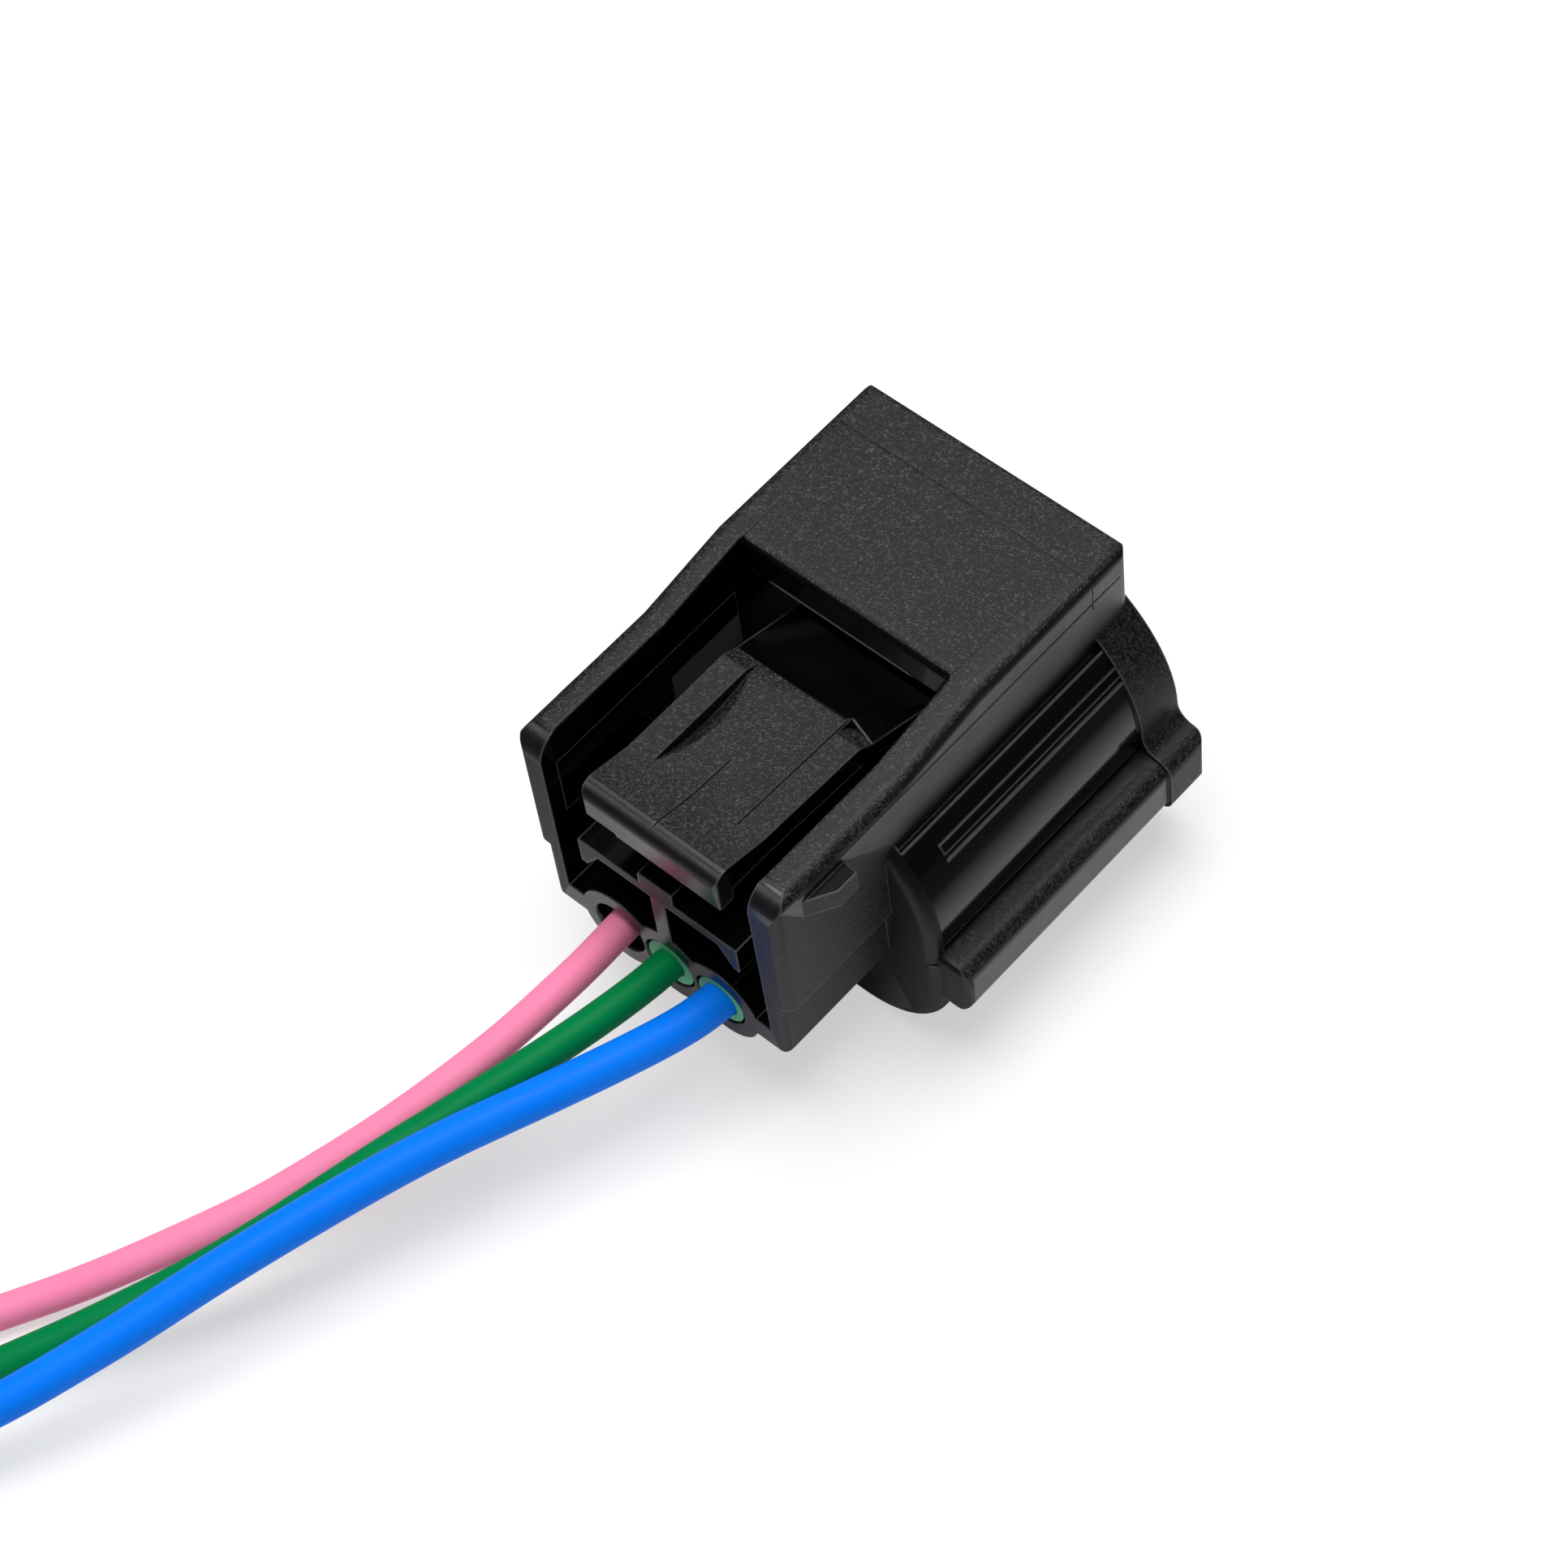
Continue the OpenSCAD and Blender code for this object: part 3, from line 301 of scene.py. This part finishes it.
# Tie. A natural nylon strap drawn tight round the coil's bundle through the slot of its own head, with its
# tail cut short. It is one moulding, and its head is on the outside of the coil.
strap_w = 2.5
strap_round = 0.12
loop_in, loop_out = 6.95, 15.6
loop_low, loop_top = tie_t / 2, 4.72
loop_corner = 1.0
head_size = (2.4, 4.0)
head_low, head_top = 0.9, 3.7
head_ease, slot_ease = 0.5, 0.12
slot_size = (0.9, 3.0)
tail_len = 2.6
tail_gap = 0.15
tail_in = 0.3
tail_bow = 0.05
tail_steps = 8
corner_steps = 8
head_steps = 5
tie_sharp_deg = 40
tie_out = np.array((math.cos(tie_angle), math.sin(tie_angle), 0))
tie_along = np.array((-math.sin(tie_angle), math.cos(tie_angle), 0))
tie_foot = np.array((*coil_centre, 0))


def tie_point(out, along, up):
    """Point in mm from distances out from the coil's middle, along its turns and up."""
    return tie_foot + out * tie_out + along * tie_along + np.array((0, 0, up))


def strap(path, closed):
    """Flat strap with eased edges along a path of (out, up) points in the plane across the bundle."""
    path = np.asarray(path)
    if closed:
        ahead = np.roll(path, -1, axis=0) - np.roll(path, 1, axis=0)
    else:
        ahead = np.gradient(path, axis=0)
    ahead /= np.linalg.norm(ahead, axis=1)[:, None]
    w, t, r = strap_w / 2, tie_t / 2, strap_round
    section = (
        (w, t - r), (w - r, t), (r - w, t), (-w, t - r),
        (-w, r - t), (r - w, -t), (w - r, -t), (w, r - t),
    )
    n = len(section)
    verts, faces = [], []
    for (out, up), (d_out, d_up) in zip(path, ahead):
        for along, off in section:
            verts.append(tie_point(out - off * d_up, along, up + off * d_out))
    for i in range(len(path) if closed else len(path) - 1):
        for k in range(n):
            a, b = i * n + k, i * n + (k + 1) % n
            c, d = [(v + n) % len(verts) for v in (b, a)]
            faces.append((a, b, c, d))
    if not closed:
        faces.append(tuple(reversed(range(n))))
        faces.append(tuple(range(len(verts) - n, len(verts))))
    return verts, faces


# Nylon, moulded. Slightly milky and soft at the edges, with a satin face.
haze_mm = 1.0
nylon, tree, place = start_material("nylon_natural_moulded")
cloud = {"Scale": 1 / (haze_mm * mm), "Detail": 2.0}
haze = add_node(tree, "ShaderNodeTexNoise", cloud, {"Vector": place})
ends = {"data_type": "RGBA", 6: linear("#dcd8ca"), 7: linear("#ebe8dd")}
colour = add_node(tree, "ShaderNodeMix", ends, {0: haze.outputs["Fac"]})
level = {"To Min": 0.35, "To Max": 0.48}
rough = add_node(tree, "ShaderNodeMapRange", level, {"Value": haze.outputs["Fac"]})
milky = {"IOR": 1.53, "Subsurface Weight": 0.2, "Subsurface Radius": (1.0 * mm, 0.8 * mm, 0.6 * mm)}
look = {"Base Color": colour.outputs[2], "Roughness": rough.outputs["Result"]}
end_material(tree, add_node(tree, "ShaderNodeBsdfPrincipled", milky, look))

corners = (
    (loop_out - loop_corner, loop_top - loop_corner, 0),
    (loop_in + loop_corner, loop_top - loop_corner, 90),
    (loop_in + loop_corner, loop_low + loop_corner, 180),
    (loop_out - loop_corner, loop_low + loop_corner, 270),
)
loop = []
for out, up, start in corners:
    for a in np.radians(np.linspace(start, start + 90, corner_steps)):
        loop.append((out + loop_corner * math.cos(a), up + loop_corner * math.sin(a)))
verts, faces = strap(loop, True)
tail_out = loop_out + tie_t + tail_gap
tail_rise = head_top + tail_len - head_low
tail = []
for k in range(tail_steps + 1):
    tail.append((tail_out + tail_bow * k * k, head_low + tail_in + k * tail_rise / tail_steps))
tail_verts, tail_faces = strap(tail, False)
faces += [tuple(v + len(verts) for v in face) for face in tail_faces]
verts += tail_verts
rings = []
for (out_size, along_size), ease in ((head_size, head_ease), (slot_size, slot_ease)):
    ring = []
    for sx, sy, start in ((1, 1, 0), (-1, 1, 90), (-1, -1, 180), (1, -1, 270)):
        for a in np.radians(np.linspace(start, start + 90, head_steps)):
            x = sx * (out_size / 2 - ease) + ease * math.cos(a)
            y = sy * (along_size / 2 - ease) + ease * math.sin(a)
            ring.append((tail_out + x, y))
    rings.append(ring)
head_ring, slot_ring = rings
rows = ((head_ring, head_low), (head_ring, head_top), (slot_ring, head_top), (slot_ring, head_low))
n = len(head_ring)
first = len(verts)
for ring, up in rows:
    verts += [tie_point(out, along, up) for out, along in ring]
for row in range(len(rows)):
    for k in range(n):
        a, b = first + row * n + k, first + row * n + (k + 1) % n
        c, d = [first + (v - first + n) % (len(rows) * n) for v in (b, a)]
        faces.append((a, b, c, d))
tie = add_piece("lead_tie_strap", verts, faces, nylon)
tie.data.set_sharp_from_angle(angle=math.radians(tie_sharp_deg))
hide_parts("lead_tie")

# Housing. One injection moulding in black PBT: the hood with its deck and guard walls, the skirt with its
# ribs, and the seal tubes. Flat upper faces carry a spark-eroded texture, while the recesses are polished.
flow_mm = 1.5
tooth_mm = 0.16
edge_mm = 0.14
relief_mm = 0.02
highlight_rub_mm = 0.14
rubbed_rough = 0.24


def worm_ridges(tree, place, worm_mm, gap_mm):
    """Height of short worm-like ridges, from a band of wandering noise that a second noise breaks up."""
    wander = {"Scale": 1 / (worm_mm * mm), "Detail": 1.0, "Distortion": 0.6}
    worms = add_node(tree, "ShaderNodeTexNoise", wander, {"Vector": place})
    broken = {"Scale": 1 / (gap_mm * mm), "Detail": 1.0}
    breaks = add_node(tree, "ShaderNodeTexNoise", broken, {"Vector": place})
    middle = add_node(tree, "ShaderNodeMath", {"operation": "SUBTRACT", 1: 0.5}, {0: worms.outputs["Fac"]})
    far = add_node(tree, "ShaderNodeMath", {"operation": "ABSOLUTE"}, {0: middle.outputs[0]})
    thin = {"From Min": 0.012, "From Max": 0.08, "To Min": 1.0, "To Max": 0.0}
    crest = add_node(tree, "ShaderNodeMapRange", thin, {"Value": far.outputs[0]})
    gaps = {"From Min": 0.36, "From Max": 0.58, "To Min": 0.15, "To Max": 1.0}
    kept = add_node(tree, "ShaderNodeMapRange", gaps, {"Value": breaks.outputs["Fac"]})
    both = {0: crest.outputs["Result"], 1: kept.outputs["Result"]}
    return add_node(tree, "ShaderNodeMath", {"operation": "MULTIPLY"}, both).outputs[0]


def black_pbt(tree, height, rough, dark, light, painted_highlight_grey, relief, sheen):
    """Shader of black PBT with relief, and soft edges that are rubbed smooth and carry a painted grey
    highlight.
    """
    edge = add_node(tree, "ShaderNodeBevel", {"samples": 4, "Radius": edge_mm * mm})
    near = {"samples": 6, "inside": True, "only_local": True, "Distance": highlight_rub_mm * mm}
    thin = add_node(tree, "ShaderNodeAmbientOcclusion", near)
    rub_and_highlight_range = {"From Min": 0.88, "From Max": 0.55}
    rub_and_highlight = add_node(tree, "ShaderNodeMapRange", rub_and_highlight_range, {"Value": thin.outputs["AO"]}).outputs["Result"]
    ends = {"data_type": "RGBA", 6: linear(dark), 7: linear(light)}
    face = add_node(tree, "ShaderNodeMix", ends, {0: height})
    # Convex edges get a painted highlight in grey, and their roughness drops as if rubbed smooth.
    ends = {"data_type": "RGBA", 7: linear(painted_highlight_grey)}
    colour = add_node(tree, "ShaderNodeMix", ends, {0: rub_and_highlight, 6: face.outputs[2]})
    ends = {"data_type": "FLOAT", 3: rubbed_rough}
    rough = add_node(tree, "ShaderNodeMix", ends, {0: rub_and_highlight, 2: rough})
    normal = {"Height": height, "Normal": edge.outputs["Normal"]}
    bump = add_node(tree, "ShaderNodeBump", {"Strength": relief, "Distance": relief_mm * mm}, normal)
    look = {
        "Base Color": colour.outputs[2],
        "Roughness": rough.outputs[0],
        "Normal": bump.outputs["Normal"],
    }
    gloss = {"IOR": 1.55, "Specular IOR Level": sheen}
    end_material(tree, add_node(tree, "ShaderNodeBsdfPrincipled", gloss, look))


# PBT, moulded against a spark-eroded face. Short worm-like ridges are bumped and painted lighter than the
# ground, a painted highlight for the light they catch, so that black plastic looks charcoal. They are about
# 0.1 mm wide, and drawn coarser than that so that they show.
wear_mm = 4.0
eroded, tree, place = start_material("pbt_black_spark_eroded")
ridge = worm_ridges(tree, place, worm_mm=0.22, gap_mm=0.2)
wear = {"Scale": 1 / (wear_mm * mm), "Detail": 2.0}
patch = add_node(tree, "ShaderNodeTexNoise", wear, {"Vector": place}).outputs["Fac"]
level = {"To Min": 0.46, "To Max": 0.58}
rough = add_node(tree, "ShaderNodeMapRange", level, {"Value": patch}).outputs["Result"]
black_pbt(tree, ridge, rough, "#070708", "#424247", "#3a3a3e", relief=0.8, sheen=0.33)

# PBT, moulded against a fine-blasted face. The same ridges, finer and closer and painted lighter as a faint
# painted sheen, give a dull charcoal without clear highlights.
blasted, tree, place = start_material("pbt_black_fine_blasted")
ridge = worm_ridges(tree, place, worm_mm=0.2, gap_mm=0.14)
level = {"To Min": 0.42, "To Max": 0.56}
rough = add_node(tree, "ShaderNodeMapRange", level, {"Value": ridge}).outputs["Result"]
black_pbt(tree, ridge, rough, "#09090a", "#37373b", "#58585c", relief=0.8, sheen=0.22)

# PBT, moulded against a stoned face. A satin that shows soft, broad highlights and a very fine tooth.
satin, tree, place = start_material("pbt_black_stoned_satin")
fine = {"Scale": 1 / (tooth_mm * mm), "Detail": 2.0}
tooth = add_node(tree, "ShaderNodeTexNoise", fine, {"Vector": place}).outputs["Fac"]
streak = {"Scale": 1 / (flow_mm * mm), "Detail": 3.0}
flow = add_node(tree, "ShaderNodeTexNoise", streak, {"Vector": place}).outputs["Fac"]
level = {"To Min": 0.24, "To Max": 0.38}
rough = add_node(tree, "ShaderNodeMapRange", level, {"Value": flow}).outputs["Result"]
black_pbt(tree, tooth, rough, "#070708", "#19191b", "#58585c", relief=0.35, sheen=0.4)

# PBT, moulded against a polished face. Deep black with clear reflections, blurred a little by streaks.
polished, tree, place = start_material("pbt_black_polished")
drawn = add_node(tree, "ShaderNodeMapping", {"Scale": (1.0, 0.15, 1.0)}, {"Vector": place})
flow = add_node(tree, "ShaderNodeTexNoise", streak, {"Vector": drawn.outputs["Vector"]}).outputs["Fac"]
level = {"To Min": 0.08, "To Max": 0.18}
rough = add_node(tree, "ShaderNodeMapRange", level, {"Value": flow}).outputs["Result"]
black_pbt(tree, flow, rough, "#030303", "#070708", "#4c4c50", relief=0.1, sheen=0.35)

# PBT, moulded against a plain ground face. Dark and dull, with little of the room in it.
plain, tree, place = start_material("pbt_black_plain_ground")
tooth = add_node(tree, "ShaderNodeTexNoise", fine, {"Vector": place}).outputs["Fac"]
level = {"To Min": 0.4, "To Max": 0.54}
rough = add_node(tree, "ShaderNodeMapRange", level, {"Value": tooth}).outputs["Result"]
black_pbt(tree, tooth, rough, "#030303", "#0c0c0d", "#58585c", relief=0.35, sheen=0.2)

weld_mm = 0.002
sharp_deg = 33
round_weight = 90


def moulded(node_name, name, body, finishes, choose):
    """Copy of a CAD node with its rounds smoothed, whose faces get the finish that fits their place."""
    mesh = frame["nodes"][node_name].data.copy()
    welded = bmesh.new()
    welded.from_mesh(mesh)
    bmesh.ops.remove_doubles(welded, verts=welded.verts, dist=weld_mm * mm)
    welded.to_mesh(mesh)
    welded.free()
    if "custom_normal" in mesh.attributes:
        mesh.attributes.remove(mesh.attributes["custom_normal"])
    mesh.shade_smooth()
    mesh.set_sharp_from_angle(angle=math.radians(sharp_deg))
    mesh.materials.clear()
    for finish in finishes:
        mesh.materials.append(finish)
    for face in mesh.polygons:
        face.material_index = finishes.index(choose(face.center / mm, face.normal))
    piece = bpy.data.objects.new(name, mesh)
    bpy.context.scene.collection.objects.link(piece)
    rounds = piece.modifiers.new("rounds", "WEIGHTED_NORMAL")
    rounds.keep_sharp = True
    rounds.weight = round_weight
    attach(piece, body)
    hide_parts(node_name)
    return piece


flat_up = 0.95
rolled_up = 0.72
leaning = 0.5
slack = 0.05
clear = 0.1
deck_low = 19.5
pocket_half = 7.3
hood_half = 9.0
skirt_half = 12.0
wall_corner_y = -12.2
skirt_y = -6.0
groove_y = -5.2
floor_z = 14.2
tube_top = 12.5
band_y = 11.0
rib_top = 9.5
nub_mid = 18.5


def housing_finish(at, way):
    """Finish of a face of the housing, from its middle in mm and its normal."""
    on_shoulder = groove_y < at.y < band_y and abs(at.x) > hood_half and at.z > rib_top
    on_nub = at.y < groove_y and abs(at.x) > hood_half + clear and at.z > nub_mid and way.z > flat_up
    on_skirt_end = skirt_y - clear < at.y < groove_y and abs(at.x) > hood_half
    on_rib = at.z < rib_top and abs(at.x) > skirt_half and way.z > leaning
    if at.y < wall_corner_y and at.z > deck_low and way.z < flat_up:
        return satin
    if way.z > rolled_up and at.z > deck_low and abs(at.x) < hood_half:
        return eroded
    if on_shoulder or on_nub:
        return polished
    if on_skirt_end:
        return plain
    if on_rib or at.y > band_y and abs(at.x) > hood_half:
        return blasted
    if at.y < skirt_y and abs(at.x) > pocket_half + slack:
        return blasted
    if at.y < skirt_y and way.y < -leaning:
        return satin if at.z < tube_top else blasted
    return polished if abs(at.x) < pocket_half + slack else satin


housing_finishes = [eroded, satin, polished, blasted, plain]
housing = moulded("housing", "housing_moulding", "housing", housing_finishes, housing_finish)

# The ledge along the pocket's walls shows as a fine line, and the nub on the left wall stands out less than
# the right one. The right wall is a little thicker than the left one at its rim.
ledge_x, ledge_z = 7.05, 17.9
ledge_w = 0.3
ledge_end_y = 1.0
line_x, line_z = 7.27, 18.6
nub_low, nub_high = 18.0, 20.0
nub_share = 0.45
rim_round = 0.25
rim_extra = 0.24
rim_end_y = 2.6
tiny = 0.02
for vert in housing.data.vertices:
    x, y, z = vert.co / mm
    if abs(abs(x) - ledge_x) < tiny and deck_low > z > floor_z - slack and y < ledge_end_y:
        vert.co.x = (math.copysign(line_x, x) - (rim_extra if x > 0 else 0)) * mm
    if pocket_half - tiny < x < pocket_half + rim_round and z > ledge_z - slack and y < rim_end_y:
        vert.co.x = (x - rim_extra) * mm
    if abs(abs(x) - ledge_x) < ledge_w and abs(z - ledge_z) < slack and y < ledge_end_y:
        vert.co.z = line_z * mm
    if x < -hood_half and nub_low < z < nub_high and y < groove_y:
        vert.co.x = (nub_share * (x + hood_half) - hood_half) * mm

# Flash. A thread of black PBT along the lower edge of the deck, squeezed out where the tool's halves met.
# It is part of the moulding, and it shows as one bright line.
flash_r = 0.05
flash_step = 0.5
flash_sides = 10
flash_ends = np.array(((-5.5, 1.88, 19.93), (4.4, 1.88, 19.93)))
verts, faces = sweep(even_steps(flash_ends, flash_step), flash_r, flash_sides)
flash = add_piece("deck_flash", verts, faces, polished)

# Latch lever. A black PBT arm on two pins, moulded with a thumb pad between the guard walls and a hook nib
# under the deck. The pad's top is spark-eroded for grip, its rear lip is rolled over and satin, and the arm
# is polished.
pad_low = 18.0
pad_front = -1.75
lip_end = -12.9


def lever_finish(at, way):
    """Finish of a face of the lever, from its middle in mm and its normal."""
    if at.y < lip_end:
        return satin
    if way.z > rolled_up and at.z > pad_low and at.y < pad_front:
        return eroded
    return polished


lever = moulded("latch_lever", "latch_moulding", "lever", [eroded, satin, polished], lever_finish)

# The right strip of the pad is chamfered at its front, where the arm begins.
strip_x = 3.0
chamfer_y = -2.7
chamfer_drop = 0.55
lever_sharp_deg = 20
shape = bmesh.new()
shape.from_mesh(lever.data)
strip = [f for f in shape.faces if min(v.co.x for v in f.verts) > strip_x * mm and f.normal.z > flat_up]
strip_edges = [e for e in shape.edges if any(f in strip for f in e.link_faces)]
strip_verts = [v for v in shape.verts if any(f in strip for f in v.link_faces)]
plane = {"plane_co": (0, chamfer_y * mm, 0), "plane_no": (0, 1, 0)}
bmesh.ops.bisect_plane(shape, geom=strip_verts + strip_edges + strip, **plane)
for vert in shape.verts:
    x, y, z = vert.co / mm
    if x > strip_x and chamfer_y + slack < y < pad_front and z > pad_low:
        vert.co.z -= chamfer_drop * mm
shape.to_mesh(lever.data)
shape.free()
lever.data.set_sharp_from_angle(angle=math.radians(lever_sharp_deg))

# Wire seals and the ring seal. Soft liquid silicone, moulded in light green, with ribs that press on the
# bores. Each wire seal is threaded on its lead and pushed in until its rear flange fills the tube's mouth,
# and the ring seal is stretched over the foot of the contact tower.
flange_y = -13.2
flange_push = 0.22

# Silicone, moulded. A little milky and dull, with a faint mottle, so that it glows softly beside black.
mottle_mm = 0.6
mottle_relief_mm = 0.02
silicone, tree, place = start_material("silicone_green_moulded")
cloud = {"Scale": 1 / (mottle_mm * mm), "Detail": 3.0}
mottle = add_node(tree, "ShaderNodeTexNoise", cloud, {"Vector": place})
ends = {"data_type": "RGBA", 6: linear("#4fae78"), 7: linear("#63c28c")}
colour = add_node(tree, "ShaderNodeMix", ends, {0: mottle.outputs["Fac"]})
relief = {"Strength": 0.2, "Distance": mottle_relief_mm * mm}
bump = add_node(tree, "ShaderNodeBump", relief, {"Height": mottle.outputs["Fac"]})
level = {"To Min": 0.4, "To Max": 0.55}
rough = add_node(tree, "ShaderNodeMapRange", level, {"Value": mottle.outputs["Fac"]})
milky = {"IOR": 1.41, "Subsurface Weight": 0.15, "Subsurface Radius": (0.6 * mm, 0.9 * mm, 0.6 * mm)}
look = {
    "Base Color": colour.outputs[2],
    "Roughness": rough.outputs["Result"],
    "Normal": bump.outputs["Normal"],
}
end_material(tree, add_node(tree, "ShaderNodeBsdfPrincipled", milky, look))
frame["nodes"]["mating_seal"].data.materials[0] = silicone
for i in (1, 2, 3):
    node = f"wire_seal_{i}"
    seal = moulded(node, f"{node}_moulding", "housing", [silicone], lambda at, way: silicone)
    for vert in seal.data.vertices:
        if vert.co.y < flange_y * mm:
            vert.co.y -= flange_push * mm

# Front retainer. A cap in natural PBT that clips over the contact tower and keeps the terminals in.
# It is moulded, which gives it a dull satin face and faint flow marks.
mark_mm = 1.2
pale, tree, place = start_material("pbt_natural_moulded")
marks = {"Scale": 1 / (mark_mm * mm), "Detail": 3.0}
flow = add_node(tree, "ShaderNodeTexNoise", marks, {"Vector": place})
ends = {"data_type": "RGBA", 6: linear("#d3cdb9"), 7: linear("#e2ddcb")}
colour = add_node(tree, "ShaderNodeMix", ends, {0: flow.outputs["Fac"]})
level = {"To Min": 0.38, "To Max": 0.5}
rough = add_node(tree, "ShaderNodeMapRange", level, {"Value": flow.outputs["Fac"]})
look = {"Base Color": colour.outputs[2], "Roughness": rough.outputs["Result"]}
end_material(tree, add_node(tree, "ShaderNodeBsdfPrincipled", {"IOR": 1.55}, look))
frame["nodes"]["front_retainer"].data.materials[0] = pale

# Terminals and the cores in their crimps. Stamped and folded from thin brass strip and tinned, which gives
# a bright grey face with faint rolling lines. The stripped copper shows in the crimps.
roll_mm = 0.15
tinned, tree, place = start_material("brass_tinned_stamped")
drawn = add_node(tree, "ShaderNodeMapping", {"Scale": (1.0, 0.1, 1.0)}, {"Vector": place})
rolled = {"Scale": 1 / (roll_mm * mm), "Detail": 2.0}
lines = add_node(tree, "ShaderNodeTexNoise", rolled, {"Vector": drawn.outputs["Vector"]})
ends = {"data_type": "RGBA", 6: linear("#b9b4a4"), 7: linear("#d6d2c6")}
colour = add_node(tree, "ShaderNodeMix", ends, {0: lines.outputs["Fac"]})
level = {"To Min": 0.25, "To Max": 0.4}
rough = add_node(tree, "ShaderNodeMapRange", level, {"Value": lines.outputs["Fac"]})
look = {"Base Color": colour.outputs[2], "Roughness": rough.outputs["Result"]}
end_material(tree, add_node(tree, "ShaderNodeBsdfPrincipled", {"Metallic": 1.0}, look))
for i in (1, 2, 3):
    frame["nodes"][f"terminal_{i}"].data.materials[0] = tinned
    frame["nodes"][f"crimped_core_{i}"].data.materials[0] = copper

# Table. A wide sheet of matt white paper that the connector lies on, and that takes its soft shadow. Rays
# that go straight to the eye see it near full white. For mirror rays its colour is painted darker to both
# sides, away from a line beside the connector, a painted shade in what the black faces reflect.
lit_x = (8 * mm, 0.0, 0.0)
lit_mm = (14, 36)
unlit_share = 0.9
shadow_mm = (120, 300)
glow_share = 0.52
glow_level = 1.1
fibre_mm = 8.0
half = 4.0
paper, tree, place = start_material("paper_white_matt")
ray = add_node(tree, "ShaderNodeLightPath")
along_x = {"operation": "MULTIPLY", 1: (1.0, 0.0, 0.0)}
across = add_node(tree, "ShaderNodeVectorMath", along_x, {0: place})
from_lit = {"operation": "DISTANCE", 1: lit_x}
away = add_node(tree, "ShaderNodeVectorMath", from_lit, {0: across.outputs["Vector"]})
fall = {"From Min": lit_mm[0] * mm, "From Max": lit_mm[1] * mm, "To Min": 0.0, "To Max": unlit_share}
mirror_shade_fall = add_node(tree, "ShaderNodeMapRange", fall, {"Value": away.outputs["Value"]})
both = {0: mirror_shade_fall.outputs["Result"], 1: ray.outputs["Is Glossy Ray"]}
painted_mirror_shade = add_node(tree, "ShaderNodeMath", {"operation": "MULTIPLY"}, both)
cloud = {"Scale": 1 / (fibre_mm * mm), "Detail": 2.0}
fibre = add_node(tree, "ShaderNodeTexNoise", cloud, {"Vector": place})
ends = {"data_type": "RGBA", 6: linear("#fbfbfb"), 7: linear("#fdfdfd")}
sheet = add_node(tree, "ShaderNodeMix", ends, {0: fibre.outputs["Fac"]})
# Painted shade in reflections: mirror rays see the paper's colour mixed towards black.
ends = {"data_type": "RGBA", 7: linear("#000000")}
colour = add_node(tree, "ShaderNodeMix", ends, {0: painted_mirror_shade.outputs[0], 6: sheet.outputs[2]})
either = {0: ray.outputs["Is Camera Ray"], 1: ray.outputs["Is Transmission Ray"]}
seen = add_node(tree, "ShaderNodeMath", {"operation": "ADD", "use_clamp": True}, either)
reach = add_node(tree, "ShaderNodeVectorMath", {"operation": "LENGTH"}, {0: place})
fade = {"From Min": shadow_mm[0] * mm, "From Max": shadow_mm[1] * mm, "To Min": glow_share, "To Max": 1.0}
glow = add_node(tree, "ShaderNodeMapRange", fade, {"Value": reach.outputs["Value"]})
both = {0: seen.outputs[0], 1: glow.outputs["Result"]}
share = add_node(tree, "ShaderNodeMath", {"operation": "MULTIPLY"}, both)
matt = add_node(tree, "ShaderNodeBsdfDiffuse", {}, {"Color": colour.outputs[2]})
white = add_node(tree, "ShaderNodeEmission", {"Strength": glow_level}, {"Color": colour.outputs[2]})
mixed = {0: share.outputs[0], 1: matt.outputs[0], 2: white.outputs[0]}
end_material(tree, add_node(tree, "ShaderNodeMixShader", {}, mixed))
corners = [(-half, -half, 0), (half, -half, 0), (half, half, 0), (-half, half, 0)]
table_mesh = bpy.data.meshes.new("table")
table_mesh.from_pydata(corners, [], [(0, 1, 2, 3)])
table_mesh.materials.append(paper)
table = bpy.data.objects.new("table", table_mesh)
bpy.context.scene.collection.objects.link(table)

# Light. A wide soft box nearly overhead and a small strip box from the rear left, in a dim room, so that
# the shadows lie close under the pieces. The dark walls keep the polished black faces deep black, and the
# white table gives the upright ones their sheen. The eye alone sees the room as white.
wall_top, ceiling_edge = 0.2, 0.8
wall_level, ceiling_level = 0.05, 0.24
world = bpy.data.worlds.new("room")
bpy.context.scene.world = world
world.use_nodes = True
tree = world.node_tree
tree.nodes.clear()
way = add_node(tree, "ShaderNodeTexCoord")
parts = add_node(tree, "ShaderNodeSeparateXYZ", {}, {0: way.outputs["Generated"]})
rise = {"From Min": wall_top, "From Max": ceiling_edge, "To Min": wall_level, "To Max": ceiling_level}
dome = add_node(tree, "ShaderNodeMapRange", rise, {"Value": parts.outputs["Z"]})
ray = add_node(tree, "ShaderNodeLightPath")
either = {0: dome.outputs["Result"], 1: ray.outputs["Is Camera Ray"]}
bright = add_node(tree, "ShaderNodeMath", {"operation": "MAXIMUM"}, either)
sky = add_node(tree, "ShaderNodeBackground", {"Color": linear("#ffffff")}, {"Strength": bright.outputs[0]})
add_node(tree, "ShaderNodeOutputWorld", links={"Surface": sky.outputs[0]})
for name, form, width, depth, energy, spot in (
    ("soft_box", "DISK", 0.44, 0.44, 3.0, (-0.015, 0.035, 0.55)),
    ("strip_box", "RECTANGLE", 0.3, 0.08, 0.36, (-0.25, -0.32, 0.44)),
):
    box_data = bpy.data.lights.new(name, "AREA")
    box_data.shape = form
    box_data.size = width
    box_data.size_y = depth
    box_data.energy = energy
    light_box = bpy.data.objects.new(name, box_data)
    light_box.location = spot
    light_box.rotation_euler = (-light_box.location).to_track_quat("-Z", "Y").to_euler()
    bpy.context.scene.collection.objects.link(light_box)
bpy.context.scene.view_settings.view_transform = "Standard"
